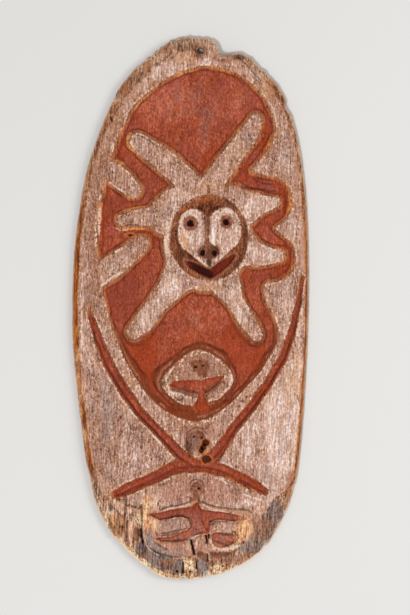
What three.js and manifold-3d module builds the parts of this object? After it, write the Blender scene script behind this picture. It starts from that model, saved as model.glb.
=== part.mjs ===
// Gope board: an oval spirit board carved from one plank, with recessed painted fields round a rayed figure.
// Millimetres. The board lies on its flat back, carved face up. The end with the hanging hole points along +Y.
import * as THREE from 'three';
import { ConvexGeometry } from 'three/addons/geometries/ConvexGeometry.js';
import { mergeVertices } from 'three/addons/utils/BufferGeometryUtils.js';
import Module from 'manifold-3d';

const wasm = await Module();
wasm.setup();

// Blank
const boardLength = 920;
const boardWidth = 400;
const boardThickness = 24;
const crownDrop = 7; // how far the face falls from the middle line to the long sides
const rimThickness = 15; // square edge left under the bevel, before the crown
const rimBevel = 10; // narrowest bevel round the face, in plan

// Carving
const recessDepth = 6; // from the face down to the painted fields
const wallWidth = 7; // plan width of a wall that slopes over recessDepth
const limbWidth = 30; // the rays of the figure
const grooveWidth = 20; // the crossed grooves below the field
const figureArmWidth = 18; // the recessed arms of the figure at the foot
const podArmWidth = 12; // the recessed arms inside the pod
const headWidth = 132;
const headHeight = 147;
const moatDepth = 8; // from the face down to the ring round the head
const cheekDrop = 3; // the white of the face below the nose and brow
const noseWidth = 11;
const mouthWidth = 9;
const mouthDepth = 4; // below the ring
const eyeDiameter = 12;
const eyeDepth = 13;
const nostrilDiameter = 8;
const nostrilDepth = 9;
const smallEyeDiameter = 4.4;
const smallEyeDepth = 5;
const smallFaceWidth = 30;
const smallFaceHeight = 40;
const smallRingWidth = 4;
const smallRingDepth = 2.5;

// Hanging hole
const holeDiameter = 11;
const collarDiameter = 26; // worn funnel round the hole
const collarDepth = 5;

// Age
const crackWidth = 3.6;
const crackDepth = 12;
const rotDepth = 13;
const lossDepth = 5; // flaked wood beside the foot

// Sampling
const outlineSteps = 84;
const fieldSteps = 70;
const curveSteps = 30;
const discSides = 10;
const crownStrips = 8;
const clearance = 1; // how far a cutter stands out of what it cuts

const sideSlope = wallWidth / recessDepth;

// Places are percent of the board's width and length, from the middle of the board.
const at = ([u, v]) => new THREE.Vector2((u * boardWidth) / 100, (v * boardLength) / 100);

// The board's outline, clockwise from the hole, with the bevel there in multiples of rimBevel.
const outline = [
  [1.2, 49.9, 2.6], [15.9, 48.6, 2], [30.2, 44.1, 1.6], [39.5, 39.1, 1.5], [44.9, 32.3, 1],
  [48.3, 23.5, 1], [50, 10.7, 0.9], [49.7, -3.9, 0.9], [47.9, -18.6, 0.9], [45.8, -28.8, 1],
  [41.2, -36.7, 3.6], [31.9, -43.9, 4], [17.6, -48.1, 3], [2.4, -49.8, 3.9], [-12.7, -49.2, 3.9],
  [-27.1, -44.4, 4.2], [-37.6, -38.4, 3], [-43.1, -29.9, 1.3], [-46.4, -18.6, 1.1], [-49.2, -7.6, 1.1],
  [-50, 2.5, 1.1], [-48.7, 12.5, 1.1], [-44.9, 23.4, 1.1], [-39.3, 31.6, 1.2], [-30.4, 40.2, 2],
  [-20.3, 45.3, 2.2], [-10.2, 48.5, 2.4],
];

// The top edge of the large painted field, before the fingers and thorns that reach into it.
const field = [
  [6.2, 44.2], [20.9, 42.2], [30.2, 38.7], [36.1, 33.8], [40.3, 27.2], [43.7, 19.9], [44.5, 11.6],
  [42.4, 4.3], [37.4, -3.9], [28.1, -12.2], [14.6, -18], [2.4, -20.6], [-10.6, -18.5], [-22, -13.3],
  [-30.8, -6], [-36.7, 2.1], [-39.3, 9.4], [-39.3, 17.1], [-35.9, 23], [-31.3, 29.9], [-23.7, 36.9],
  [-12.7, 41.4], [-3.1, 43.4],
];

// Thorns of the border on the hole's right, each closed outside the field.
const thorns = [
  [[37.6, 33], [34.6, 30.6], [31.4, 28], [26, 25.2], [33.6, 24.5], [38.2, 23.9], [41.6, 22], [50, 24], [48, 33]],
  [[43.7, 18.4], [41.6, 16.6], [35.9, 14.6], [42, 12], [44.4, 9.8], [49.6, 9.8], [49.6, 18]],
  [[42.8, 7.1], [38.2, 5.2], [31.1, 3.9], [31.9, 1.7], [33.6, -0.5], [36.9, -3], [46, -3], [49, 7.1]],
];

// Strokes are points along a middle line, each with its width in multiples of the stroke's own width.
const fingers = [
  [[-39.7, 26.1, 1], [-32.9, 25, 1.12], [-27.9, 23.3, 1.12], [-23.9, 21.7, 0.84]],
  [[-40.5, 5.8, 1.24], [-34.2, 7.4, 1.24], [-27.9, 9.4, 1.07], [-20.9, 11.8, 0.8]],
];
const rays = [
  [[-22.4, 30.7, 0.84], [-16.9, 28.9, 1.08], [-9.4, 26.5, 1.19], [-0.1, 22.8, 1.24]],
  [[27.7, 34.7, 0.62], [25.2, 32.3, 0.97], [20.1, 29.2, 1.03], [13.4, 25.4, 1.08], [7.5, 21.7, 1.24]],
  [[-28.1, 16.1, 0.6], [-22.8, 16.5, 0.81], [-17.4, 16.7, 0.9], [-10.2, 16.9, 2.02]],
  [[-23.5, -4.3, 0.79], [-20.1, -2.8, 1.01], [-13.6, 0.9, 1.01], [-8.5, 3.4, 1.29], [-1.8, 7.4, 2.25]],
  [[27.9, -4.8, 0.67], [25.4, -3.2, 0.83], [22.2, -1.1, 0.9], [18.8, 1.4, 0.97], [14.2, 5.2, 1.8]],
  [[37.2, 9.6, 0.71], [32.7, 9.6, 0.98], [27.7, 9.9, 1.35], [20.9, 11.1, 2.25]],
  [[35.9, 19.5, 0.54], [32.7, 19.3, 0.84], [28.1, 19, 1.27], [22.6, 18.4, 1.91]],
];
const crossedGrooves = [
  [[-43.1, -0.5, 0.34], [-38.8, -5.4, 0.72], [-35.1, -9.1, 0.88], [-27.9, -14.9, 1], [-9.4, -24.3, 1],
    [2.4, -28.5, 1.1]],
  [[47.1, 6, 0.3], [44.5, -0.5, 0.51], [42, -4.1, 0.62], [34.4, -11.1, 0.79], [23.9, -18, 0.84],
    [11.7, -25, 0.93], [4.1, -28.8, 1]],
  [[2.4, -28.6, 1], [-6.4, -29.5, 0.84], [-16.9, -30.5, 1], [-25.4, -32.2, 0.93], [-31.3, -33.3, 0.67]],
  [[2.4, -28.6, 1], [10.4, -28.8, 1], [17.6, -30, 1], [24.3, -31.4, 0.93], [30.6, -32.9, 0.59]],
];
const footFigure = [
  [[2.4, -34.5, 0.49], [2.4, -36.9, 0.75], [2.4, -41.5, 1.12]],
  [[-0.1, -37.3, 0.99], [-7.7, -37.6, 0.94], [-15.7, -37.9, 0.43]],
  [[0.7, -41.3, 0.94], [-7.7, -41.7, 0.97], [-14.4, -41.7, 0.67]],
  [[4.5, -37.8, 0.84], [12.5, -38.1, 0.75], [23.5, -38.6, 0.28]],
  [[7.5, -41.3, 0.66], [11.3, -42.3, 1.31], [16.7, -42.4, 1.4]],
];
const pod = [
  [4.1, -7.6], [9.6, -8.2], [14.6, -10], [18, -12.4], [16.7, -14.4], [10.8, -16.4], [4.1, -17.5],
  [-2.6, -17.4], [-8.5, -16.2], [-11.5, -14.2], [-10.2, -11.8], [-4.7, -9.1],
];
const podArms = [
  [[-8.9, -14, 0.56], [-4.3, -13.8, 1.26], [3.3, -14, 2.1]],
  [[13.8, -12.7, 0.45], [9.2, -13.5, 1.4], [4.1, -14.2, 2.1]],
  [[4.1, -14.6, 1.26], [4.1, -16.8, 1.4], [4.1, -20, 1.68]],
];

// The head, in half widths and half heights from its middle.
const headCentre = at([7.6, 13]);
const inHead = ([a, b]) => new THREE.Vector2(
  headCentre.x + (a * headWidth) / 2,
  headCentre.y + (b * headHeight) / 2,
);
const heart = [
  [-0.45, 0.645], [-0.72, 0.47], [-0.79, 0.09], [-0.6, -0.28], [-0.34, -0.46], [0, -0.61], [0.42, -0.42],
  [0.73, -0.19], [0.84, 0.13], [0.73, 0.5], [0.45, 0.66], [0.14, 0.59], [-0.04, 0.52], [-0.21, 0.61],
];
const nose = [[-0.04, 0.8, 1.4], [-0.03, 0.4, 0.6], [-0.02, 0.06, 0.65], [0, -0.33, 1.9]];
const mouth = [[-0.54, -0.54, 0.75], [-0.2, -0.7, 1.05], [0.05, -0.81, 1.12], [0.34, -0.62, 1.05],
  [0.66, -0.41, 0.67]];
const eyes = [[-0.445, 0.325], [0.455, 0.373]];
const nostrils = [[-0.14, -0.334], [0.16, -0.318]];

// Small faces: the middle of each.
const smallFaces = [[2.4, -24.3], [2.8, -33.1]];
const podFace = [3.9, -10.7];
const smallEyeSpread = 0.22; // share of smallFaceWidth, each side of the middle

const holeCentre = at([4.1, 47.3]);

// Damage, in percent as above.
const breaks = [
  [[11.3, 50.6], [12.3, 46.8], [14, 46.2], [16.3, 46.5], [18.8, 47], [21.4, 47.2], [24, 50.6]],
  [[5, -50.8], [7.1, -48.4], [9.2, -50.8]],
  [[-4.2, -50.8], [-3.1, -49.2], [-1.8, -50.8]],
];
const loss = [[-34.5, -34.9], [-27.5, -34.5], [-20.7, -34.2], [-19.9, -37], [-20.7, -40.6], [-21.2, -43.4],
  [-26, -45.4], [-31, -43.5], [-36.3, -40], [-38, -36.5]];
const cracks = [
  [[0.3, -42.6, 1], [1.6, -45, 0.8]],
  [[6.6, -41.5, 1], [7.1, -43.1, 0.8]],
  [[-20.4, -38, 0.8], [-20.6, -42.8, 1.2]],
  [[-27.4, -34.7, 0.8], [-27.4, -38.2, 1]],
];
const rotHoles = [
  { place: [7.1, -27.6], diameter: 17 },
  { place: [5.2, -25.3], diameter: 12 },
  { place: [-33.4, -36.8], diameter: 10 },
];

// Loops of points

function smoothLoop(shares, steps, place = at) {
  const points = shares.map((share) => {
    const { x, y } = place(share);
    return new THREE.Vector3(x, y, share[2] ?? 0);
  });
  const curve = new THREE.CatmullRomCurve3(points, true, 'centripetal');
  return anticlockwise(curve.getSpacedPoints(steps).slice(0, steps));
}

function anticlockwise(loop) {
  return THREE.ShapeUtils.isClockWise(loop) ? [...loop].reverse() : loop;
}

function ellipseLoop(centre, radiusX, radiusY, steps) {
  return Array.from({ length: steps }, (_, i) => {
    const angle = (2 * Math.PI * i) / steps;
    return new THREE.Vector2(centre.x + radiusX * Math.cos(angle), centre.y + radiusY * Math.sin(angle));
  });
}

// Moves each point of a loop outwards by a distance, which may change along the loop.
function offsetLoop(loop, distanceAt) {
  const longestMitre = 1.5;
  return loop.map((point, i) => {
    const before = loop[(i + loop.length - 1) % loop.length];
    const after = loop[(i + 1) % loop.length];
    const a = new THREE.Vector2(point.y - before.y, before.x - point.x).normalize();
    const b = new THREE.Vector2(after.y - point.y, point.x - after.x).normalize();
    const normal = a.clone().add(b).normalize();
    const mitre = Math.min(longestMitre, 1 / Math.max(normal.dot(a), 0.1));
    const distance = distanceAt(point) * mitre;
    return new THREE.Vector2(point.x + normal.x * distance, point.y + normal.y * distance);
  });
}

// Solids

function solid(geometry) {
  const bare = geometry.clone();
  bare.deleteAttribute('normal');
  bare.deleteAttribute('uv');
  const merged = mergeVertices(bare, 1e-4);
  return new wasm.Manifold(new wasm.Mesh({
    numProp: 3,
    vertProperties: new Float32Array(merged.attributes.position.array),
    triVerts: new Uint32Array(merged.index.array),
  }));
}

// A closed body through loops of as many points each, lowest first.
function loft(levels) {
  const count = levels[0].loop.length;
  const positions = levels.flatMap(({ loop, z }) => loop.flatMap((p) => [p.x, p.y, z]));
  const indices = [];
  for (let level = 0; level < levels.length - 1; level += 1) {
    for (let i = 0; i < count; i += 1) {
      const next = (i + 1) % count;
      const low = level * count;
      const high = low + count;
      indices.push(low + i, low + next, high + next, low + i, high + next, high + i);
    }
  }
  const top = (levels.length - 1) * count;
  for (const [a, b, c] of THREE.ShapeUtils.triangulateShape(levels[0].loop, [])) {
    indices.push(c, b, a);
  }
  for (const [a, b, c] of THREE.ShapeUtils.triangulateShape(levels[levels.length - 1].loop, [])) {
    indices.push(top + a, top + b, top + c);
  }
  const geometry = new THREE.BufferGeometry();
  geometry.setAttribute('position', new THREE.Float32BufferAttribute(positions, 3));
  geometry.setIndex(indices);
  return solid(geometry);
}

// What stands up inside a cut: its sides slope out on the way down.
function raised(loop, top, bottom) {
  const flare = (z) => offsetLoop(loop, () => sideSlope * (top - z));
  return loft([
    { loop: flare(bottom - clearance), z: bottom - clearance },
    { loop: flare(top), z: top },
    ...(top === boardThickness ? [{ loop: flare(top + clearance * 2), z: top + clearance * 2 }] : []),
  ]);
}

// What is cut away: its sides slope in on the way down.
function sunk(loop, depth, wall = sideSlope) {
  const floor = boardThickness - depth;
  return loft([
    { loop: offsetLoop(loop, () => -wall * depth), z: floor },
    { loop: offsetLoop(loop, () => wall * clearance), z: boardThickness + clearance },
  ]);
}

// A chain of hulls between upright cones along a stroke's points.
function stroke(points, width, levels, place = at) {
  const sections = points.map((share) => {
    const centre = place(share);
    const radius = (share[2] * width) / 2;
    return levels.flatMap(({ z, spread }) => {
      const r = Math.max(radius + spread, radius * 0.25);
      return ellipseLoop(centre, r, r, discSides).map((p) => new THREE.Vector3(p.x, p.y, z));
    });
  });
  return union(sections.slice(1).map((section, i) => solid(new ConvexGeometry([...sections[i], ...section]))));
}

function raisedStroke(points, width, place = at) {
  const low = boardThickness - recessDepth - clearance;
  const high = boardThickness + clearance * 2;
  return stroke(points, width, [
    { z: low, spread: sideSlope * (boardThickness - low) },
    { z: high, spread: sideSlope * (boardThickness - high) },
  ], place);
}

function groove(points, width, depth, place = at, from = boardThickness) {
  return stroke(points, width, [
    { z: from - depth, spread: -sideSlope * depth },
    { z: from, spread: 0 },
    { z: boardThickness + clearance, spread: sideSlope * (boardThickness + clearance - from) },
  ], place);
}

// A round pit, a little narrower at its foot.
function pit(centre, diameter, depth) {
  const taper = 0.8;
  const high = boardThickness + clearance;
  const low = boardThickness - depth;
  const profile = [
    new THREE.Vector2(0, low),
    new THREE.Vector2((diameter / 2) * taper, low),
    new THREE.Vector2(diameter / 2, high),
    new THREE.Vector2(0, high),
  ];
  const geometry = new THREE.LatheGeometry(profile, discSides);
  geometry.rotateX(Math.PI / 2);
  geometry.translate(centre.x, centre.y, 0);
  return solid(geometry);
}

function union(solids) {
  return solids.reduce((whole, next) => whole.add(next));
}

// Stretches a loop to the board's exact length and width, about the middle of the board.
function fittedToBoard(loop) {
  const box = new THREE.Box3().setFromPoints(loop);
  const size = box.getSize(new THREE.Vector3());
  const middle = box.getCenter(new THREE.Vector3());
  return loop.map(({ x, y, z }) => new THREE.Vector3(
    ((x - middle.x) * boardWidth) / size.x,
    ((y - middle.y) * boardLength) / size.y,
    z,
  ));
}

function blank() {
  const rim = fittedToBoard(smoothLoop(outline, outlineSteps));
  const face = offsetLoop(rim, (point) => -rimBevel * point.z);
  return loft([
    { loop: rim, z: 0 },
    { loop: rim, z: rimThickness },
    { loop: face, z: boardThickness },
  ]);
}

function fieldCut() {
  const floor = boardThickness - recessDepth;
  const hubCentre = at([7, 12.9]);
  const hub = ellipseLoop(hubCentre, headWidth * 0.55, headHeight * 0.6, curveSteps);
  const podIsland = raised(smoothLoop(pod, curveSteps), boardThickness, floor);
  const podFigure = union(podArms.map((arm) => groove(arm, podArmWidth, recessDepth - 1)));
  const islands = [
    ...thorns.map((thorn) => raised(anticlockwise(thorn.map(at)), boardThickness, floor)),
    ...fingers.map((finger) => raisedStroke(finger, limbWidth)),
    ...rays.map((ray) => raisedStroke(ray, limbWidth)),
    raised(hub, boardThickness, floor),
    podIsland.subtract(podFigure),
  ];
  return sunk(smoothLoop(field, fieldSteps), recessDepth).subtract(union(islands));
}

function headCut() {
  const floor = boardThickness - moatDepth;
  const ring = sunk(ellipseLoop(headCentre, headWidth / 2, headHeight / 2, curveSteps), moatDepth, 0.8);
  const cheeks = raised(smoothLoop(heart, curveSteps, inHead), boardThickness - cheekDrop, floor);
  const ridge = raisedStroke(nose, noseWidth, inHead);
  const lips = groove(mouth, mouthWidth, mouthDepth, inHead, floor);
  return ring
    .subtract(cheeks)
    .subtract(ridge)
    .add(lips)
    .add(union(eyes.map((eye) => pit(inHead(eye), eyeDiameter, eyeDepth))))
    .add(union(nostrils.map((nostril) => pit(inHead(nostril), nostrilDiameter, nostrilDepth))));
}

function smallFaceCut(share, scale) {
  const centre = at(share);
  const width = (smallFaceWidth * scale) / 2;
  const height = (smallFaceHeight * scale) / 2;
  const outer = sunk(ellipseLoop(centre, width, height, curveSteps / 2), smallRingDepth, 0.4);
  const innerLoop = ellipseLoop(centre, width - smallRingWidth, height - smallRingWidth, curveSteps / 2);
  const inner = loft([
    { loop: innerLoop, z: boardThickness - smallRingDepth - clearance },
    { loop: innerLoop, z: boardThickness + clearance * 2 },
  ]);
  const pits = [-1, 1].map((side) => {
    const place = centre.clone().add(new THREE.Vector2(side * smallEyeSpread * smallFaceWidth * scale, 0));
    return pit(place, smallEyeDiameter, smallEyeDepth);
  });
  return outer.subtract(inner).add(union(pits));
}

function hangingHole() {
  const profile = [
    new THREE.Vector2(0, -clearance),
    new THREE.Vector2(holeDiameter / 2, -clearance),
    new THREE.Vector2(holeDiameter / 2, boardThickness - collarDepth),
    new THREE.Vector2(collarDiameter / 2, boardThickness),
    new THREE.Vector2(collarDiameter / 2, boardThickness + clearance),
    new THREE.Vector2(0, boardThickness + clearance),
  ];
  const geometry = new THREE.LatheGeometry(profile, discSides);
  geometry.rotateX(Math.PI / 2);
  geometry.translate(holeCentre.x, holeCentre.y, 0);
  return solid(geometry);
}

function damage() {
  const through = breaks.map((shares) => {
    const loop = anticlockwise(shares.map(at));
    return loft([{ loop, z: -clearance }, { loop, z: boardThickness + clearance }]);
  });
  return union([
    ...through,
    sunk(anticlockwise(loss.map(at)), lossDepth, 0.3),
    ...cracks.map((crack) => stroke(crack, crackWidth, [
      { z: boardThickness - crackDepth, spread: 0 },
      { z: boardThickness + clearance, spread: 0 },
    ])),
    ...rotHoles.map(({ place, diameter }) => pit(at(place), diameter, rotDepth)),
  ]);
}

// Crown

// Splits triangles at lines across the board, so that a flat face can follow the crown.
function splitAlong(vertices, triangles, lineX) {
  const onLine = 0.02;
  const side = vertices.map((v) => (Math.abs(v.x - lineX) < onLine ? 0 : Math.sign(v.x - lineX)));
  const cuts = new Map();
  const cut = (a, b) => {
    const key = a < b ? `${a}_${b}` : `${b}_${a}`;
    if (!cuts.has(key)) {
      const [low, high] = a < b ? [vertices[a], vertices[b]] : [vertices[b], vertices[a]];
      cuts.set(key, vertices.length);
      vertices.push(low.clone().lerp(high, (lineX - low.x) / (high.x - low.x)));
    }
    return cuts.get(key);
  };
  return triangles.flatMap((triangle) => {
    const sides = triangle.map((i) => side[i]);
    if (Math.max(...sides) < 1 || Math.min(...sides) > -1) {
      return [triangle];
    }
    const flat = sides.indexOf(0);
    if (flat >= 0) {
      const [a, b, c] = [0, 1, 2].map((k) => triangle[(flat + k) % 3]);
      const middle = cut(b, c);
      return [[a, b, middle], [a, middle, c]];
    }
    const alone = sides.findIndex((s) => sides.filter((other) => other === s).length === 1);
    const [a, b, c] = [0, 1, 2].map((k) => triangle[(alone + k) % 3]);
    const near = cut(a, b);
    const far = cut(a, c);
    return [[a, near, far], [near, b, c], [near, c, far]];
  });
}

// Lowers the face towards the long sides and leaves the back flat.
function crown(board) {
  const mesh = board.getMesh();
  const vertices = [];
  for (let i = 0; i < mesh.vertProperties.length; i += mesh.numProp) {
    vertices.push(new THREE.Vector3(...mesh.vertProperties.slice(i, i + 3)));
  }
  let triangles = [];
  for (let i = 0; i < mesh.triVerts.length; i += 3) {
    triangles.push([...mesh.triVerts.slice(i, i + 3)]);
  }
  for (let strip = 1; strip < crownStrips; strip += 1) {
    triangles = splitAlong(vertices, triangles, boardWidth * (strip / crownStrips - 0.5));
  }
  const positions = vertices.flatMap(({ x, y, z }) => {
    const share = Math.min(Math.max(z / rimThickness, 0), 1);
    return [x, y, z - crownDrop * share * (x / (boardWidth / 2)) ** 2];
  });
  const geometry = new THREE.BufferGeometry();
  geometry.setAttribute('position', new THREE.Float32BufferAttribute(positions, 3));
  geometry.setIndex(triangles.flat());
  geometry.computeVertexNormals();
  return geometry;
}

function carvedBoard() {
  const cuts = union([
    fieldCut(),
    headCut(),
    ...crossedGrooves.map((points) => groove(points, grooveWidth, recessDepth - 1)),
    ...footFigure.map((points) => groove(points, figureArmWidth, recessDepth - 1)),
    ...smallFaces.map((share) => smallFaceCut(share, 1)),
    smallFaceCut(podFace, 0.85),
    hangingHole(),
    damage(),
  ]);
  return crown(blank().subtract(cuts));
}

const paintedWood = new THREE.MeshStandardMaterial({ color: 0xa86a50, roughness: 0.85, metalness: 0 });
const board = new THREE.Mesh(carvedBoard(), paintedWood);
board.name = 'carved_board';

const gopeBoard = new THREE.Group();
gopeBoard.name = 'gope_board';
gopeBoard.add(board);

export default gopeBoard;
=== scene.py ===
# Gope board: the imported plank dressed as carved, painted and weathered wood, seen from straight above.
import math

import bpy
import numpy as np
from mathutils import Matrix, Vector, geometry


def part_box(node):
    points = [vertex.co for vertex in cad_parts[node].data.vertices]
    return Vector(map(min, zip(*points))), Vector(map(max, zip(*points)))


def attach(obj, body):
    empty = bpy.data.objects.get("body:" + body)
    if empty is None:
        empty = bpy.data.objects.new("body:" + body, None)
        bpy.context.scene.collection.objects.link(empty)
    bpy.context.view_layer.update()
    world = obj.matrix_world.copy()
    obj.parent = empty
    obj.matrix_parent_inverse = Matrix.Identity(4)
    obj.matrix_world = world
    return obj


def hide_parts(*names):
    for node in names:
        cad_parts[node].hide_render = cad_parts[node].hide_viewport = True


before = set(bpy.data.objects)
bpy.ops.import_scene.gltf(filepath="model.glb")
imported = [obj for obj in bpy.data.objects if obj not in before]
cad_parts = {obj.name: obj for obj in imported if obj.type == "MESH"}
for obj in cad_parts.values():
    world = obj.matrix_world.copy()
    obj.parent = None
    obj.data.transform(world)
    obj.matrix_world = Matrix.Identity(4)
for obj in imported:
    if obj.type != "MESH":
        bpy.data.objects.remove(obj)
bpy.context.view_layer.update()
plankNode = "carved_board"
lowCorner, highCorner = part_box(plankNode)
mm = 0.001  # the carving is worked out in millimetres, the scene in metres
plankLength = (highCorner.y - lowCorner.y) / mm
plankWidth = (highCorner.x - lowCorner.x) / mm
plankThickness = (highCorner.z - lowCorner.z) / mm
print("frame loaded:", round(plankLength), "by", round(plankWidth), "by", round(plankThickness), "mm")


# Plank, in millimetres. Places are percent of the width and length, from the middle of the board.

plank = {
    "gridStep": 1.88,  # spacing of the points on the face
    "backStep": 8,
    "crownDrop": 7,
    "rimThickness": 15,
    "rimBevel": 10,
    "thinnest": 3,
    "fieldDepth": 6,
    "podDepth": 4.2,
    "crossedDepth": 5,
    "footDepth": 4.5,
    "fieldWall": 7,  # a wall is as wide as this from its top to its foot
    "podWall": 3.6,
    "crossedWall": 6,
    "footWall": 2.8,
    "limbWidth": 30,
    "podWidth": 12,
    "crossedWidth": 20,
    "headWidth": 132,
    "headHeight": 147,
    "moatDepth": 8,
    "cheekDrop": 2.5,
    "mouthDepth": 4.8,
    "eyeDepth": 6,
    "smallEyeDepth": 4,
    "eyeDiameter": 11.8,
    "nostrilDiameter": 9,
    "holeDiameter": 11,
    "collarDiameter": 26,
    "collarDip": 5,
    "crackDepth": 7,
    "rotDepth": 9,
    "seamDepth": 1.2,
    "adzeDepth": 0.45,
    "backAdzeDepth": 1.1,
    "grainDepth": 0.16,
    "pitDepth": 1.2,
    "creaseAngle": 55,
}
farOutside = -1e6  # further out than any form reaches

# Clockwise from the head end, with the bevel in multiples of rimBevel.
outline = [
    (1.2, 49.9, 2.6), (15.9, 48.6, 1.8), (30.2, 44.1, 1.3), (39.5, 39.1, 1.15), (44.9, 32.3, 0.95),
    (48.3, 23.5, 0.9), (50, 10.7, 0.66), (49.7, -3.9, 0.6), (47.9, -18.6, 0.7), (45.8, -28.8, 0.7),
    (44, -32.9, 1.1), (41.2, -36.7, 3.2), (31.9, -43.9, 4), (17.6, -48.1, 3), (2.4, -49.8, 3.9),
    (-12.7, -49.2, 3.9), (-27.1, -44.4, 4.2), (-37.6, -38.4, 3), (-43.4, -29.9, 1.3), (-47, -18.6, 1.1),
    (-49.6, -7.6, 1.1), (-50, 2.5, 1.1), (-48.7, 12.5, 1.1), (-44.9, 23.4, 1.1), (-39.3, 31.6, 1.2),
    (-30.4, 40.2, 2), (-20.3, 45.3, 2.2), (-11.4, 48.4, 2.4), (-4.7, 49.7, 2.5),
]
field = [
    (7, 44.6), (12, 44.4), (17, 43.7), (22, 42.6), (26.6, 41), (30.9, 39), (33.3, 37.2), (35.2, 35.4),
    (36.1, 33.3), (35.5, 31.4), (33.8, 29.6), (31.1, 27.9), (27.9, 26.3), (26, 25.2), (28.5, 24.8),
    (32.7, 24.5), (36.5, 24.3), (39.3, 23.5), (41.6, 22.3), (42.8, 20.8), (43.5, 19.1), (42.6, 17.6),
    (40.4, 16.4), (37.8, 15.4), (36, 14.7), (38, 13.9), (41, 12.9), (43.6, 11.5), (44.8, 9.6),
    (44.3, 7.8), (42.4, 6.3), (39.7, 5.4), (36.1, 4.9), (32.5, 4.6), (31.1, 3.7), (31.6, 2.1),
    (33.6, 0.2), (36, -2), (37.1, -4.1), (36.5, -6.4), (32.9, -9.2), (28.4, -12.3), (14.8, -18.2),
    (2.4, -20.8), (-10.8, -18.7), (-22.3, -13.4), (-31, -6), (-36.9, 2.1), (-39.3, 9.4), (-39.3, 17.1),
    (-36.1, 23), (-32, 29.9), (-24.2, 37), (-18.4, 39.5), (-12.7, 41.5), (-7.8, 42.7), (-3.1, 43.6),
    (2, 44.3),
]
# Strokes are points along a middle line, each with a width in multiples of the stroke's own.
fingers = [
    [(-39.7, 26.1, 1), (-32.9, 25, 1.12), (-27.9, 23.3, 1.12), (-23.9, 21.7, 0.84)],
    [(-40.5, 5.7, 1.3), (-34.2, 7.3, 1.34), (-27.9, 9.3, 1.17), (-20.9, 11.8, 0.86)],
]
rays = [
    [(-22.4, 30.7, 0.88), (-16.9, 29, 1.13), (-9.4, 26.6, 1.24), (-0.1, 22.8, 1.28)],
    [(27.7, 34.7, 0.64), (25.1, 32.3, 1), (20, 29.2, 1.08), (13.3, 25.4, 1.14), (7.5, 21.7, 1.28)],
    [(-28.3, 16.2, 0.64), (-22.8, 16.6, 0.88), (-17.4, 16.8, 0.96), (-10.2, 16.9, 2.02), (-6, 18.4, 2.2)],
    [(-23.7, -4.3, 0.82), (-20.3, -2.8, 1.07), (-13.8, 0.9, 1.1), (-8.8, 3.4, 1.38), (-1.8, 7.4, 2.3)],
    [(27.9, -4.8, 0.67), (25.4, -3.2, 0.83), (22.2, -1.1, 0.9), (18.8, 1.4, 0.97), (14.2, 5.2, 1.8)],
    [(37.2, 9.6, 0.71), (32.7, 9.6, 0.98), (27.7, 9.9, 1.35), (20.9, 11.1, 2.25)],
    [(35.9, 19.5, 0.54), (32.7, 19.3, 0.84), (28.1, 19, 1.27), (22.6, 18.4, 1.91), (18, 19.3, 1.9)],
]
crossedGrooves = [
    [(-43, 0.2, 0.3), (-42, -1.2, 0.5), (-38.8, -5.6, 0.85), (-34.8, -10, 0.98), (-28.9, -14.4, 1.05),
     (-21.8, -18.8, 0.95), (-12.1, -23.2, 1), (-3.4, -27.2, 1.1), (2.4, -28.8, 1.2)],
    [(47.4, 5.8, 0.4), (45.8, 1.2, 0.55), (42.8, -4.5, 0.74), (39.2, -8.9, 0.84), (33.5, -13.3, 0.88),
     (26.5, -17.7, 0.92), (18.1, -22.1, 0.95), (11.8, -26.2, 1.15), (7.5, -28, 1.5)],
    [(2.4, -28.8, 1.3), (-6, -29, 1.34), (-12.7, -30.5, 1.12), (-19.5, -31.8, 1.1), (-26.2, -33, 1.04),
     (-31.4, -34.2, 0.85)],
    [(2.4, -28.8, 1.3), (8, -29, 1.2), (14.2, -29.7, 1.12), (20.9, -31.1, 1.1), (27.7, -32.6, 1),
     (31.2, -33.5, 0.7)],
]
# Which way each groove's painted shade line, sunk along one wall, and its painted highlight on one bank lie
# off its middle, in millimetres.
grooveShadeOffsets = [(-3.6, -2.5), (2.7, -1.4), (1.2, -2.7), (-1.3, -2.7)]
grooveHighlightOffsets = [(-8.6, -6), (9, -4.4), (-3.8, 9), (4.2, 9)]
footBody = [
    (-17.4, -37.7), (-14.4, -37.5), (-11.5, -37.2), (-8.5, -36.8), (-5.2, -36.6), (-1.8, -36.5),
    (0.7, -36.3), (2.2, -35.5), (3.5, -35.6), (4.9, -36.7), (8.3, -37), (11.3, -37.2), (14.6, -37.3),
    (18.4, -37.6), (21.8, -38.1), (24.3, -38.5), (19.3, -38.9), (15.9, -38.9), (12.1, -38.8),
    (8.9, -39.1), (8.3, -40), (7.5, -41.2), (5.4, -41.2), (2.8, -41.5), (0.7, -42), (-1.4, -42.4),
    (-4.3, -42.7), (-8.5, -42.7), (-12.3, -42.6), (-15.3, -42.1), (-12.7, -41.9), (-9.4, -41.8),
    (-6, -41.4), (-3.5, -40.8), (-1.4, -40.5), (-0.1, -39.7), (-0.3, -38.8), (-2.6, -38.4), (-6, -38.3),
    (-9.4, -38.6), (-12.7, -38.7), (-15.3, -38.4),
]
footLobe = [
    (8.7, -41.5), (8.7, -42.4), (9.8, -43.3), (12.1, -43.8), (15.1, -43.8), (17.6, -43.3), (19.7, -42.7),
    (20.3, -41.8), (18.4, -41.4), (14.6, -41.3), (10.8, -41),
]
pod = [
    (4.1, -7.6), (9.4, -8.5), (14.1, -10), (17.1, -11.8), (17.9, -13.3), (15.8, -15), (11.5, -16.5),
    (7.5, -17.1), (3.3, -17.6), (-1.8, -17.6), (-7.4, -16.5), (-11.1, -14.6), (-11.5, -13.3),
    (-9.5, -11.7), (-5, -9.8), (-0.9, -8.4),
]
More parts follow.
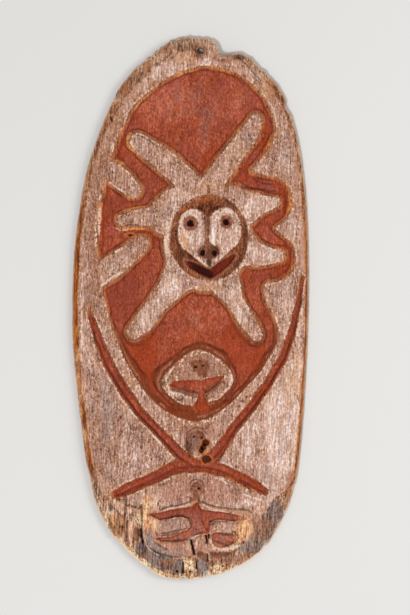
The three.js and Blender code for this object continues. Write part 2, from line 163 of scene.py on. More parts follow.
podArms = [
    [(-8.7, -14.1, 0.28), (-6, -14, 1.15), (-2.6, -14.1, 1.5), (0.7, -14.3, 1.85), (4.5, -14.4, 2)],
    [(14.2, -12.4, 0.28), (11.4, -13.1, 1.2), (8.8, -13.7, 1.7), (6.2, -14.2, 1.9)],
    [(4.6, -14.6, 1.8), (4.9, -16, 1.05), (4.8, -17, 1.5), (4.8, -17.8, 2.3)],
]
podFace = [
    (0.4, -9.6), (3.1, -9.4), (6.2, -9.5), (7.6, -10.2), (7.5, -11.4), (6.2, -12.5), (4.5, -12.3),
    (2.2, -11.5), (0.4, -10.7),
]
# Two arches of small faces: place, half width and half height in millimetres, strength.
smallArches = [((2.6, -24.3), 16, 17, 0.9), ((2.8, -33.2), 13, 12, 0.6)]
# Eyes of the three small faces: place and width in millimetres.
smallEyes = [(2.2, -10.7, 5.5), (5.4, -10.5, 4.5), (1.4, -23.5, 4.4), (4.7, -23.7, 5), (0.7, -33.1, 3.4),
             (3.6, -33, 5)]

headCentre = (7.6, 13)
# The flat round the head: its middle, and its reach in widths and heights of the head.
headFlat = ((7, 12.9), 0.55, 0.6)
# The head's own places are in half widths and half heights from its middle.
heart = [
    (-0.52, 0.61), (-0.66, 0.47), (-0.75, 0.31), (-0.77, 0.08), (-0.71, -0.15), (-0.52, -0.33),
    (-0.29, -0.48), (0.02, -0.69), (0.25, -0.54), (0.5, -0.32), (0.74, -0.13), (0.82, 0.1), (0.8, 0.36),
    (0.72, 0.53), (0.5, 0.67), (0.25, 0.63), (0.07, 0.49), (-0.03, 0.44), (-0.12, 0.56), (-0.31, 0.64),
]
nose = [(-0.04, 0.8, 13), (-0.03, 0.62, 12), (-0.02, 0.29, 7.6), (-0.02, -0.06, 8.4), (0, -0.2, 15)]
mouthLeft = [(-0.58, -0.55, 3.4), (-0.42, -0.64, 10.8), (-0.19, -0.75, 13.1), (0.04, -0.84, 13.5)]
mouthRight = [(0.04, -0.85, 12.8), (0.27, -0.71, 14.2), (0.5, -0.54, 12.1), (0.68, -0.4, 3.4)]
eyes = [(-0.458, 0.325, 13.8), (0.46, 0.36, 12.4)]  # the last number is the socket's radius in millimetres
nostrils = [(-0.14, -0.35), (0.16, -0.35)]
# The nose's bulb and the chin: place, half width and half height in millimetres.
noseBulb = ((0, -0.33), 19, 12.5)
chinPatch = ((0.02, -0.58), 5.4, 10)

hangingHole = (4.1, 47.3)
breaks = [
    [(7.5, 51), (8.3, 49.7), (9.8, 49.2), (10.8, 48.7), (11.6, 48), (12, 46.9), (12.5, 46.5),
     (14.5, 46.3), (16.7, 46.5), (18.8, 46.8), (20.9, 47), (22.2, 46.9), (22.6, 48.1), (19.3, 51.4)],
    [(-22, 49.2), (-19.9, 45.5), (-18.6, 46), (-16.9, 46), (-15.5, 47), (-13.6, 47.3), (-13.5, 47.7),
     (-11.9, 48.4), (-12.7, 50.1)],
    [(40.3, 39.7), (39.6, 39.1), (40.5, 38), (40.1, 37.1), (40.7, 36.5), (43.7, 35.1), (45.4, 36.4),
     (44.1, 40)],
    [(27.7, 45.9), (28.8, 44.8), (29.8, 44.7), (31.9, 43.8), (33.6, 44.4), (31.9, 46.4)],
    [(-3.9, -51.6), (-3.5, -49.4), (-2.6, -49.3), (-0.9, -49.9), (-1.8, -51.6)],
    [(5.4, -51.6), (5.8, -49.3), (6.4, -48.6), (7.2, -48.3), (7.9, -49), (8.7, -49.5), (9.6, -51.6)],
    [(10.8, -51.6), (11.7, -49.1), (12.7, -48.5), (13.6, -48.8), (13.8, -51.6)],
    [(-28.3, -46.1), (-25.9, -44.7), (-25.3, -45.3), (-23.5, -46.7), (-22, -47.3), (-25.4, -48.3)],
    [(-44.7, -26.8), (-44.2, -28.3), (-42.8, -30.3), (-42.2, -31.4), (-41.5, -33.8), (-44.7, -34.2),
     (-47.3, -29.6)],
    [(43.7, -32.5), (43.5, -33.2), (42.8, -34.5), (41.6, -36), (42, -37.5), (45.4, -36), (45.4, -32.9)],
]
flakedFoot = [
    (-36.3, -35.6), (-34.2, -35.1), (-29.6, -34.7), (-27.1, -36), (-20.5, -36), (-19.9, -37.8),
    (-20.7, -40.8), (-18.6, -42.6), (-18.6, -44.6), (-22.8, -45.5), (-26.2, -44.4), (-30.4, -42.9),
    (-35.5, -40),
]
# Cracks are strokes with their widths in millimetres.
cracks = [
    [(-20.7, -40.4, 1.4), (-20.6, -41.8, 2.2), (-20.2, -43, 2.6)],
    [(0.3, -42.4, 2.6), (0.9, -43.7, 3.6), (1.6, -45, 3)],
    [(6.7, -41.6, 2.6), (6.9, -42.4, 2.8), (6.9, -43.1, 1.6)],
    [(7.9, -41.5, 2.4), (7.9, -42, 2.2)],
    [(7.3, -45, 1.6), (7.6, -46.4, 1.8)],
    [(-3, -46.6, 1.6), (-3.1, -48.6, 2.2)],
    [(2.6, -46.4, 1.4), (2.7, -47.8, 1.8)],
    [(-33.6, 35.3, 1.4), (-32.7, 34.3, 1.8)],
]
# Marks on the surface, kind by kind, with their widths in millimetres.
marks = {
    "darkLine": [
        [(-12.7, -38.6, 1.7), (-9.8, -38.5, 2.4), (-6.4, -38.1, 2.5), (-3.1, -38.1, 2.5),
         (-0.9, -38.5, 2.7), (0.1, -39.1, 2.7), (-0.1, -40, 2)],
        [(-12.7, -41.2, 2.4), (-9.4, -41.1, 2.7), (-6.8, -40.8, 2.7), (-4.3, -40.5, 2.5),
         (-1.8, -40.4, 1.7)],
        [(-12.3, -42.6, 1.5), (-7.7, -42.8, 2.2), (-3.1, -42.6, 2.2), (-0.1, -42.2, 1.7)],
        [(-12.5, -37, 2.7), (-11.1, -36.5, 2.5), (-8.1, -36.2, 2.4), (-4.3, -36, 2), (-1.4, -35.6, 1.9),
         (0.3, -35.3, 1.7)],
        [(0.1, -35.2, 1.7), (0, -34.6, 1.7), (-0.9, -34.5, 1.7), (-1.2, -34.8, 1.5)],
        [(3.5, -34.5, 1.7), (3.7, -35.2, 2), (5.4, -35.5, 2.4), (7.9, -36, 2.4), (10.8, -36.4, 2.5),
         (14.6, -36.5, 2.4), (18.8, -36.8, 2.4), (22.6, -36.8, 2.2), (25.2, -37.1, 2.2),
         (25.8, -37.6, 1.7)],
        [(8.3, -39.1, 2.5), (13.4, -39, 2.2), (18.8, -39, 2)],
        [(8.3, -39.6, 2.7), (11.7, -39.3, 1.7)],
        [(12.1, -41.1, 2), (15.1, -41.3, 2.5), (17.6, -41.3, 2.2), (17.8, -40.8, 2)],
        [(18.4, -40.8, 2.4), (19.7, -41.6, 3), (20.3, -42, 2)],
        [(10, -42.6, 2), (12.1, -42.9, 3), (14.6, -43.3, 2.7), (15.9, -43.6, 2.4)],
        [(18.4, -42.6, 2), (17.2, -43.1, 2)],
        [(4.7, -37.3, 1.5), (4.9, -38.9, 2), (5.8, -39.9, 2.2), (6.8, -40.7, 2.4)],
        [(-18.6, -43.1, 1.7), (-16.9, -44.1, 2.4), (-13.6, -44.9, 2.7), (-10.2, -45.3, 2.2),
         (-7.3, -45.5, 2.4), (-4.7, -45.5, 1.7)],
        [(-14.6, -42.9, 1.7), (-12.3, -43.6, 2), (-10.2, -44.1, 1.7)],
        [(-11.5, -44.3, 1.3), (-10.2, -44.1, 1.7), (-9.4, -44, 1.3)],
        [(-14.6, -40.7, 1.7), (-14.4, -41.3, 2), (-13.6, -41.6, 1.3)],
        [(-6.8, -16.2, 2.4), (-5.4, -16.7, 3), (-4.3, -16.8, 2.4)],
        [(-4.1, -15.8, 2), (-3.1, -16.1, 2.4), (-3.3, -16.7, 2.7), (-4.1, -16.6, 2)],
        [(6.4, -15.2, 2), (6.8, -16.2, 4), (7.3, -16.8, 2.7)],
        [(-10.8, -13.5, 2.7), (-10.4, -13.9, 2.4)],
        [(-11.6, -12.9, 1.7), (-11.8, -14.2, 2), (-11.1, -14.9, 1.7)],
        [(-1.7, -24.3, 2), (-1.5, -23.2, 2.2), (-0.3, -22.3, 2), (2.6, -21.8, 2), (5.4, -22.1, 2),
         (6.6, -22.8, 2)],
        [(-1.5, -24.3, 3), (-1.3, -25.4, 4), (-0.9, -26.5, 3)],
        [(-0.1, -32.1, 1.7), (0.7, -31.5, 1.9), (2.8, -31.3, 1.7), (4.9, -31.7, 1.9), (6, -32.7, 1.7)],
        [(-27.2, -34.3, 2.7), (-27.3, -36, 3), (-25.4, -36.3, 3), (-23.1, -36.4, 3.4),
         (-21.6, -36.7, 3.7), (-20.4, -36.2, 2.7)],
        [(-20.4, -36, 2.4), (-20.7, -37.8, 2.5), (-20.5, -39.7, 3), (-20.8, -40.9, 4), (-20.5, -42, 3.2),
         (-20.1, -42.9, 2.6)],
        [(-27.3, -36.4, 2.4), (-27.5, -38, 3)],
        [(-31.3, -37, 3), (-30, -37.7, 3.4), (-28.7, -38.3, 2.7)],
        [(-26.7, -38.9, 2), (-26.6, -40.9, 2.7), (-26.8, -42.8, 1.7)],
        [(-22.2, -40.4, 2.7), (-21.6, -42, 2.4)],
        [(30.4, 41.1, 1.5), (26.2, 42.5, 1.7), (27.7, 41.8, 1.7)],
        [(-22.4, 31.8, 1.9), (-20.3, 31.5, 1.9), (-16.9, 30.7, 1.9), (-13.6, 29.6, 1.7)],
        [(-23.5, 29.5, 1.7), (-21.6, 28.6, 1.9), (-18.6, 27.3, 1.9), (-14.4, 25.7, 1.7)],
        [(-29.2, 16.8, 1.7), (-28.3, 17.3, 2.4), (-26.2, 17.7, 1.7)],
        [(-28.3, 15.2, 1.7), (-25.4, 15.3, 2.7), (-22.8, 15.4, 2.2), (-21.6, 15.1, 1.7)],
        [(21.8, 22.2, 2), (25.2, 22.1, 2.9), (28.9, 21.9, 3), (32.7, 21.7, 2.9), (36.1, 21.6, 2)],
        [(-40.7, -4.5, 2), (-40.1, -6.7, 2.2), (-39.1, -8.3, 3.4), (-38.4, -9.8, 2)],
        [(40.3, 36.2, 2.4), (41.4, 35.3, 3.4), (41.8, 34.3, 2)],
        [(38.6, 39.1, 1.7), (39.1, 38.2, 2.7)],
        [(20.1, 46.1, 2.4), (23.1, 45, 2), (26, 43.5, 2.4), (29.8, 41.8, 2)],
        [(-11.5, -31.9, 2.4), (-11.3, -32.4, 3.2)],
        [(-30.5, -35, 1.8), (-27.2, -35.2, 2)],
        [(26.9, 23.7, 1.6), (28.9, 23.3, 2.2)],
        [(29.8, 23.2, 2.6), (32.4, 22.9, 3), (34.4, 22.8, 1.8)],
        [(15.7, -32.1, 1.7), (16.5, -32.5, 3.2)],
    ],
    "creamLine": [
        [(8.4, -41.8, 2.2), (8.7, -42.9, 2.7), (10.2, -43.9, 3), (12.9, -44.2, 2.5), (15.9, -44.1, 2.7),
         (18.8, -43.9, 4.4), (20.9, -43.4, 2.4)],
        [(7.5, -44.8, 2.4), (7.8, -45.5, 3.4), (7.7, -46.2, 2)],
        [(-12.7, -37.2, 1.7), (-9.8, -36.8, 1.7), (-6, -36.4, 2.4), (-2.6, -36.2, 2.4),
         (-0.1, -35.8, 1.7)],
        [(5.4, -35.9, 1.2), (9.2, -36.8, 1.4), (12.1, -37, 1.6), (15.5, -37.3, 1.2)],
        [(-19.7, -41.7, 2.4), (-18.6, -43.3, 2.2), (-16.5, -44.5, 2), (-13.6, -45.2, 1.7)],
        [(-0.9, -42.3, 2.4), (0.7, -41.9, 2.5), (2.8, -41.6, 1.7)],
        [(-9.8, -14.2, 2.7), (-8.9, -15.1, 3.4), (-6.8, -15.7, 4.4), (-4.3, -15.7, 3.7),
         (-1.8, -16.2, 2.7)],
        [(-10.2, -12.7, 2), (-8.9, -11.8, 2), (-7.3, -10.9, 1.7)],
        [(17.2, -11.8, 2), (17.6, -13.1, 4), (16.3, -14.6, 3.4), (12.9, -15.8, 2)],
        [(-5.8, -12.4, 2), (-5.5, -13.1, 3.4)],
        [(0.3, -8.4, 2), (0.7, -8.8, 1.8)],
        [(-9.4, -14.6, 2), (-10.2, -13.1, 1.7)],
        [(6.8, -23.5, 2.4), (7.1, -24.5, 2.7), (5.8, -25.4, 3), (5.4, -26.3, 3)],
        # The next ten cream lines, on the head, are painted highlights along its edges and beside the nose,
        # partly worn lime.
        [(-9.8, 13.3, 2.2), (-10.3, 11.4, 2.7), (-9.8, 9.2, 2.5), (-8.5, 7.4, 2)],
        [(8.2, 13.3, 2.7), (8.9, 12.2, 4.4), (10.6, 11.8, 2.7)],
        [(-3.9, 16.9, 2), (-1.4, 17.7, 2.2), (2, 17.9, 2), (4.9, 17.3, 1.7)],
        [(-4.9, 14.7, 2.2), (-4.5, 12.5, 2), (-2.6, 10.9, 1.7)],
        [(1.6, 9.6, 2.7), (4.5, 8.7, 3), (7.1, 7.8, 2)],
        [(11.7, 8.7, 2.7), (13.4, 9.6, 2.4)],
        [(9.2, 17.1, 2.2), (10.8, 17.7, 2.7), (12.9, 17.7, 3), (15.9, 17.9, 2.7), (18, 17.3, 1.7)],
        [(12.9, 11.4, 2.4), (14.2, 10.5, 2.7)],
        [(2, 16.9, 3.7), (2.8, 16.8, 3.4)],
        [(-1.8, 13.5, 3.4), (-0.9, 13.1, 3.4)],
        [(-24.9, 30.7, 2.7), (-24.5, 29.8, 3.4), (-22, 28.7, 2.2), (-19.1, 27.5, 2)],
        [(-31.5, 14.8, 1.2), (-29.6, 14.4, 1.5), (-26.6, 14.3, 1.1)],
        [(-38.2, 18.2, 3.7), (-38.5, 16.9, 4.7), (-38.6, 15.1, 3.7), (-38.4, 13.6, 1.7)],
        [(-37.6, 4.1, 2.4), (-35.1, 5, 2.5), (-32.5, 5.8, 2), (-28.7, 6.9, 1.7)],
        [(34, 37.5, 1.3), (35.7, 35.6, 1.7), (36.5, 33.4, 2.4)],
        [(22.4, -34, 1.8), (25.2, -34.5, 2.6), (28.1, -34.9, 2.2), (30.2, -35.1, 1.6)],
        [(-12.2, -31.9, 1.8), (-9.8, -31.4, 2), (-6.5, -30.7, 1.6)],
        [(10.5, -31, 2), (13.6, -31.5, 2), (17.8, -32.6, 1.6)],
        [(-43.5, 19.7, 2.7), (-42.6, 20.6, 2.4)],
        [(-45.6, 1.6, 1.7), (-45.8, -2.1, 1.9), (-45.4, -6.7, 1.7)],
        [(46.6, -9.4, 1.6), (45.8, -14.2, 1.8), (45.1, -19, 1.6), (44.4, -23.5, 1.8), (43.6, -28, 1.6)],
    ],
    "brownBand": [
        [(-8.1, -14.7, 4.2), (-4.7, -15, 7.6), (-0.9, -15.3, 10.1), (2, -15.8, 10.1)],
        [(13.4, -13.4, 4.2), (10.4, -14.3, 10.1), (7.5, -15.1, 11), (6.2, -16, 5.9)],
        [(-12.7, -41.6, 2), (-8.5, -41.5, 3.4), (-4.7, -41, 3)],
        [(0.7, -34.9, 6.7), (2.4, -35.3, 10.1), (4.1, -35.6, 5.1)],
        [(3.7, -45, 8.4), (5.8, -45.5, 11.8), (7.1, -46.2, 6.7)],
        # This band is painted shadow under the foot's round lobe.
        [(8.3, -45.2, 8.4), (11.7, -45.3, 9.3), (15.1, -45.1, 6.7), (18, -44.7, 3.4)],
        [(-1.6, -24.1, 2.7), (-1.4, -25.5, 5.7), (0.3, -26.5, 5.1)],
        [(-22.8, -40.6, 8.4), (-22.6, -42.4, 8.4)],
        [(2.8, -22.4, 3.4), (4.5, -23, 8.4), (5.8, -23.9, 6.7)],
        [(5.6, -22.1, 1.7), (9.2, -21, 1.7)],
        [(1.2, -32.5, 5.1), (2.8, -32.1, 8.4), (4.1, -33.1, 6.7)],
        [(2, -33.6, 8.4), (2.4, -34.5, 8.4)],
        [(7.5, 22.3, 5.1), (7.9, 21.3, 5.1)],
    ],
    "redBand": [
        [(-17.2, -37.7, 1.7), (-14.4, -37.5, 2.7)],
        [(6.8, -40.6, 3.4), (7.3, -41.5, 5.1)],
        [(10, -42, 5.1), (14.2, -42.1, 3.4), (18.8, -42.4, 2.5)],
    ],
    "tanBand": [
        [(-12.3, -37.1, 2), (-8.5, -36.6, 3.4), (-4.3, -36.4, 3.7), (-0.1, -35.9, 4), (2.4, -35.4, 5.1)],
        [(4.5, -35.9, 3.4), (7.5, -36.4, 5.1), (10.8, -36.8, 4), (15.1, -36.9, 3.7), (19.3, -37.3, 4.4),
         (23.5, -37.5, 5.9), (25.2, -38, 4)],
        [(12.1, -41.8, 1.9), (15.5, -42.1, 2), (19.3, -42.4, 1.7)],
        [(9.6, -43.1, 3.4), (11.3, -43.6, 5.9), (13.4, -43.8, 4.2)],
    ],
    "limeBand": [
        [(-12.3, -39.8, 15.2), (-7.7, -39.7, 20.2), (-3.5, -39.6, 16.9)],
        [(10.4, -40.2, 8.4), (14.2, -40.1, 12.6), (17.6, -40.1, 10.1)],
    ],
    "greyBand": [
        [(-16.5, -41, 5.1), (-17.2, -42, 10.1), (-16.3, -43.1, 11.8), (-14, -44, 10.1),
         (-10.6, -44.7, 8.4), (-6.4, -45.1, 5.9), (-2.6, -45.1, 5.1)],
        [(4.2, -45.6, 8), (5, -46.8, 13), (5, -48, 11)],
    ],
}

# How far each kind is sunk, or raised where it is less than nothing.
markDepth = {"darkLine": 1.3, "creamLine": -0.5, "brownBand": 1.2, "redBand": 0.3, "tanBand": -0.4,
             "limeBand": -0.5, "greyBand": -0.7}
# Where the field's wall is wider: place, reach in millimetres, and how much of a wall is added.
wideWalls = [((4.1, -7.6), 60, 26, 0.9), ((-12, -12), 36, 40, 1.2), ((2.4, -20.8), 64, 22, 0.9)]
# The side from the top down: share of its height, inset from the rim and roughness in millimetres.
sideProfile = [(0.74, -0.1, 0.5), (0.48, 0.15, 0.6), (0.24, 0.4, 0.5), (0.08, 0.9, 0.3), (0, 1.8, 0)]
# Rot holes: place, width and height in millimetres.
rotHoles = [
    (6.8, -27.7, 17, 13), (6.4, -24.6, 14, 11), (5.5, -25.4, 11, 11), (4.7, -26, 9, 12),
    (-25.6, 13.5, 9, 4), (22.4, -42.9, 4, 5), (13.8, -47.3, 5, 4), (-0.1, -48.4, 7, 5),
    (-5.6, -48.3, 4, 4), (6.8, -16, 3, 3),
]


# Where the paint and the wood differ from the rest, with some painted shade and highlights among them:
# place, width and length in millimetres, strength.
wear = {
    "thickLime": [
        (47, 8, 8, 150, 0.9), (46.3, -8, 9, 100, 0.9), (27, 42.5, 24, 14, 0.8), (36.5, 35, 10, 36, 0.8),
        (12, 44.8, 40, 8, 0.7), (-14, 42.4, 24, 12, 0.7), (-26.5, 36.8, 14, 26, 0.6),
        (16.5, 12.5, 26, 44, 1), (37.8, -22.3, 61, 185, 1.15), (33.6, -31.8, 51, 84, 0.8),
        (42, -14, 24, 118, 0.8), (-10.2, 44, 51, 24, 0.8), (6.2, 45, 34, 13, 0.9),
        (-12.5, 39.9, 30, 8, 0.6), (-7.7, 42.8, 24, 12, 1), (23.5, 42.9, 40, 30, 0.7),
        # The patch at (9.8, 13) is a painted highlight beside the nose.
        (15.1, 13.3, 40, 57, 0.7), (9.8, 13, 9, 26, 1.9), (-1.4, 14, 24, 17, 0.7),
        (30.2, 19.1, 51, 34, 0.7), (31.5, 9.4, 54, 27, 0.7), (1.5, 14.2, 40, 44, 0.6),
        (-8.5, 4.3, 40, 40, 0.8), (-16.9, -1.2, 40, 57, 0.8), (10.4, 2.4, 67, 16, 0.6),
        (20.9, 0.6, 30, 61, 0.7), (20.9, -22.6, 84, 74, 0.5), (17.6, -26.8, 67, 40, 0.6),
        (41.2, 0.6, 17, 84, 0.7), (42.8, 12.5, 15, 101, 0.5), (25.2, -34.7, 44, 37, 0.6),
        (-16.9, -33.2, 51, 24, 0.5), (-3.1, 20.8, 44, 20, 0.7), (-10.2, 11.6, 13, 84, 0.9),
    ],
    "thinLime": [
        (-39.7, 23.5, 44, 168, 0.9), (-42.2, 8.9, 24, 152, 0.5), (-35.5, -21.3, 64, 202, 0.55),
        (-29.6, 32.7, 34, 84, 0.6), (38.6, 34.2, 34, 67, 0.4), (15.9, 45.5, 30, 17, 0.7),
        (2.8, -10.9, 101, 74, 0.9), (-36.3, 27.2, 22, 40, 0.9), (42.5, -31.4, 18, 30, 1),
        (2.8, -24.1, 37, 47, 0.9), (2.4, -33.2, 37, 37, 0.7), (-0.1, -43.9, 101, 40, 0.6),
        (4.1, -21.2, 101, 34, 0.6), (-16.9, -24.1, 51, 51, 0.3), (-29.6, 23.9, 27, 24, 0.6),
        (-16.9, 29, 44, 34, 0.1), (-8.5, -39.1, 40, 13, 0.7), (-40.5, 9, 24, 200, 0.9),
        (2.8, -8.6, 78, 22, 1),
    ],
    "tanLime": [
        (31.5, 40.4, 27, 40, 0.9), (-2.6, 46.1, 37, 20, 0.8), (7.9, 21.9, 27, 20, 0.8),
        (41.2, -14.9, 15, 67, 0.7), (19.3, 27.2, 27, 61, 0.5), (-16.9, -36.9, 24, 61, 1),
        (-2.6, 11.6, 18, 40, 1), (-12.7, 19, 17, 13, 0.6), (44.5, -25.9, 7, 101, 0.8),
        (-24.9, 39.7, 24, 27, 0.5), (-14.8, 41.1, 34, 20, 0.4), (-27.5, -16.4, 17, 44, 0.5),
        (32.7, -16.8, 24, 51, 0.4), (16.7, -1.2, 17, 27, 0.4), (-24.1, 30.1, 10, 13, 0.8),
        (-6.4, -27.4, 15, 20, 1), (-37.6, 17.1, 8, 40, 0.9), (8.2, 4.2, 44, 12, 0.8),
        (-9.5, 12.4, 14, 34, 0.5), (-25.4, -13.6, 18, 22, 1), (45, -11, 16, 90, 0.9),
    ],
    "greyLime": [
        (-34.6, -16.8, 20, 135, 0.6), (32.7, -31.4, 20, 51, 0.6), (38.6, -24.1, 15, 67, 0.4),
        (-16.9, -42, 15, 37, 1), (-5.2, -44.6, 34, 17, 0.8), (-22.4, 31.2, 12, 20, 0.8),
        (-25.4, -37.6, 20, 13, 0.8), (-7.7, -39.7, 40, 16, 1), (23.5, 30.9, 15, 27, 0.5),
        (39.9, 26.3, 15, 67, 0.4),
    ],
    "scuffedOchre": [
        (4.1, 39.7, 17, 51, 0.6), (6.6, 34.3, 22, 47, 0.9), (-0.1, 36, 30, 20, 0.7),
        (-2.6, 38.6, 34, 34, 0.35), (20.9, 39.7, 34, 30, 0.3), (2, -2.1, 24, 30, 0.5),
        (6.2, 30.9, 8, 30, 0.7), (-7.7, 36, 20, 17, 0.4), (-6.4, -41.8, 60, 12, 0.9),
        (13, -42.8, 34, 14, 0.7), (0.5, -38.4, 34, 30, 0.4), (7.4, 31.4, 5, 24, 1), (-6, 39, 18, 8, 0.8),
        (1.4, 38.2, 5, 16, 1), (9.9, 35.9, 5, 22, 1),
    ],
    "paleOchre": [
        (-10, 38, 90, 70, 1), (14, 38, 60, 60, 0.6), (-10.6, -0.6, 74, 37, 0.3), (6.2, -1.5, 78, 34, 0.4),
        (-16.9, 34.9, 34, 34, 0.4),
    ],
    "deepOchre": [
        (-30.4, 19, 37, 37, 0.6), (-27.5, 1.6, 48, 110, 0.8), (11.5, 37.3, 50, 84, 0.45),
        (-12.7, 24.5, 57, 34, 0.5), (-12.7, -30.1, 74, 20, 0.6), (2, -39.4, 130, 54, 0.9),
        (25.2, -3.9, 30, 67, 0.5), (-19.1, 7.1, 20, 84, 0.3), (31.5, 6.1, 44, 20, 0.4),
        (-29.2, -13.8, 26, 60, 0.8),
    ],
    "orangeOchre": [
        (41.2, 19.9, 20, 74, 1), (31.5, 29.9, 27, 74, 0.8), (40.3, 8.5, 24, 67, 0.8),
        (-19.1, -8, 51, 101, 0.9), (18.8, -7.6, 57, 84, 0.7), (6.2, -18.2, 91, 24, 1),
        (28.5, -11.6, 37, 101, 0.8), (-38, 14, 17, 74, 1), (22.2, 25, 27, 40, 0.6),
        (8.3, 27.2, 34, 44, 0.6), (-29.6, 29, 24, 51, 0.6), (-16.9, 13.5, 24, 34, 0.7),
    ],
    # Bright orange on some walls: partly bare orange wood, partly painted highlight.
    "orangeWall": [
        (-25.8, 30.9, 12, 40, 1), (-23.7, 28.7, 24, 13, 1), (-37.6, 17.7, 10, 30, 1),
        (-30.4, 26.6, 24, 10, 0.7), (-24.5, 14.5, 44, 7, 1), (32.7, 30.3, 13, 51, 0.5),
        (27.3, 25.7, 13, 13, 0.6), (42.4, 19, 10, 51, 0.6), (-25.4, 18.4, 51, 8, 0.7),
        (42, 8.5, 12, 51, 0.4), (10.4, 22.4, 27, 12, 0.5), (-10.6, 1.6, 27, 27, 0.4),
        (17.6, -31, 17, 13, 0.7), (27.3, -33.6, 27, 10, 0.7), (7.1, -26.3, 24, 10, 0.9),
        (-22, 38.6, 50, 34, 0.6), (-5, 43.3, 60, 14, 0.7), (15, 43.4, 50, 12, 0.5),
        (28.5, 40.3, 34, 22, 0.4), (36.2, 30.5, 8, 40, 0.9),
    ],
    "bareTan": [
        (22.2, -40.4, 24, 44, 1), (-18.6, -37.5, 13, 57, 1), (-15.7, -39.7, 17, 20, 0.9),
        (-3, 12.4, 11, 26, 0.45), (-47.8, -10.5, 9, 60, 0.5), (-46.2, -17.5, 10, 60, 0.6),
        (-44.8, -24.5, 10, 60, 0.6),
    ],
    "cream": [
        (-0.5, -47.2, 22, 29, 1), (14, -47.8, 34, 17, 0.9), (-21.2, -38.6, 9, 22, 0.9),
        (7.9, -45.7, 4, 15, 1), (-24.9, -44.4, 8, 24, 1), (11.7, -44, 27, 4, 0.7),
        (18.8, -43.5, 13, 5, 0.8), (-17.4, -36.2, 12, 18, 0.5),
    ],
    "creamEdge": [
        (-23, -45.6, 70, 50, 1), (-12, -48.5, 60, 20, 0.9), (-36, -38.6, 24, 80, 0.45),
    ],
    "pinkPlate": [
        (-29.6, -36.4, 15, 22, 1), (-23.9, -37.1, 29, 13, 0.6), (-25.4, -40.8, 10, 44, 0.9),
        (-15.7, -39.5, 15, 17, 0.7), (14.4, -40.5, 32, 12, 0.6), (0, -43.6, 8, 15, 0.8),
        (3.4, -43, 8, 15, 0.8),
    ],
    "roseLime": [
        (2, -33.4, 118, 40, 0.9), (-0.1, -43.6, 101, 26, 0.5), (2.8, -12.5, 84, 60, 0.35),
        (2.8, -22.5, 70, 30, 0.5), (15.5, -34.3, 60, 24, 0.6),
    ],
    "oliveWood": [
        (-30.8, -40, 27, 37, 0.9), (-22.9, -41, 9, 37, 0.8), (-33.6, -34.6, 10, 40, 0.5),
    ],
    "rust": [
        (-30.4, -39.8, 24, 30, 0.8), (-28.3, 40.4, 15, 40, 0.9), (-18.2, 44.4, 15, 19, 0.9),
        (-10.2, 47.7, 19, 17, 0.8), (34.4, 40.8, 15, 30, 0.9), (39.5, 37.8, 10, 37, 0.8),
        (41.6, -34, 13, 24, 1), (-19.9, -45.7, 13, 15, 0.9), (-9.3, -46.6, 24, 10, 1),
        (30.2, -40.6, 40, 30, 0.6), (17.5, -46.2, 50, 14, 0.6), (-33.8, 35.6, 15, 47, 0.5),
        (41.2, -33.6, 14, 22, 1), (34.4, 40.3, 24, 40, 0.8), (-21, -47.4, 14, 8, 1),
        (27.7, 42.8, 13, 17, 0.4), (47.4, 12, 10, 90, 0.8), (44.6, 25, 9, 60, 0.6),
        (42.8, -31.4, 15, 30, 0.7),
    ],
    "greyWood": [
        (-12.7, -45.8, 84, 34, 1), (-5.2, -47.5, 27, 34, 1), (36.1, -37.4, 29, 44, 1),
        (27.3, -43, 66, 40, 0.9), (-21, -44.6, 26, 30, 1), (31, -40, 50, 50, 0.75),
        (4.9, -47.2, 17, 32, 1), (-22, -44.2, 10, 30, 0.9), (-0.9, 48.4, 71, 20, 0.2),
        (-30.8, 40.4, 5, 40, 0.9), (17.6, -46.1, 40, 10, 0.6), (-39.7, -33.2, 7, 51, 0.4),
        (34, -38.4, 30, 36, 0.5),
    ],
    "darkBrown": [
        (6.2, -24.5, 17, 13, 1), (4.4, -25.8, 9, 14, 1), (0.2, -25.6, 10, 22, 0.8),
        (2.6, -24, 24, 26, 0.4), (-14, 44.8, 9, 6, 0.8), (-33.4, -36.7, 9, 14, 1),
        # The patch at (12.1, -45) is painted shadow under the foot's round lobe.
        (-29.4, -40.2, 6, 8, 0.7), (20.9, 46.1, 17, 8, 0.9), (12.1, -45, 34, 7, 0.9),
        (4.1, -45.1, 10, 8, 1), (-21.6, 41.8, 5, 7, 0.9), (-20.3, 43.1, 5, 7, 0.9),
        (-7.3, 46.1, 5, 5, 0.9), (22, -17, 9, 4, 0.9), (23.6, -16.2, 5, 4, 1), (20.6, -17.9, 6, 4, 0.9),
    ],
    # Dark patches in the head's ring: painted shade in its hollow, partly darker wood.
    "darkRing": [
        (-3.9, 10.2, 13, 37, 1), (17.6, 19, 30, 17, 0.8), (-6, 17.3, 13, 17, 0.3), (23.2, 13, 8, 64, 0.7),
        (20.1, 8.5, 20, 17, 0.7), (-7.7, 13.3, 7, 24, 0.7),
    ],
    "orangeRing": [
        (-2.6, 18.4, 17, 7, 0.9), (6.2, 20.2, 34, 10, 0.7), (1.2, 6.3, 12, 10, 0.9),
        (-7.7, 17.1, 10, 27, 0.6),
    ],
}


def at(point):
    return point[0] * plankWidth / 100, point[1] * plankLength / 100


def inHead(point):
    x, y = at(headCentre)
    return x + point[0] * plank["headWidth"] / 2, y + point[1] * plank["headHeight"] / 2


def smoothLoop(points, place=at, perSpan=6):
    # A closed Catmull-Rom curve through the points; any third number is carried along.
    knots = np.array([(*place(p), p[2] if len(p) > 2 else 0) for p in points], float)
    before, after, later = np.roll(knots, 1, 0), np.roll(knots, -1, 0), np.roll(knots, -2, 0)
    spans = []
    for t in np.arange(perSpan) / perSpan:
        spans.append(0.5 * (2 * knots + (after - before) * t
                            + (2 * before - 5 * knots + 4 * after - later) * t ** 2
                            + (3 * knots - before - 3 * after + later) * t ** 3))
    return np.stack(spans, 1).reshape(-1, 3)


def straightLoop(points, place=at):
    return np.array([(*place(p), 0) for p in points], float)


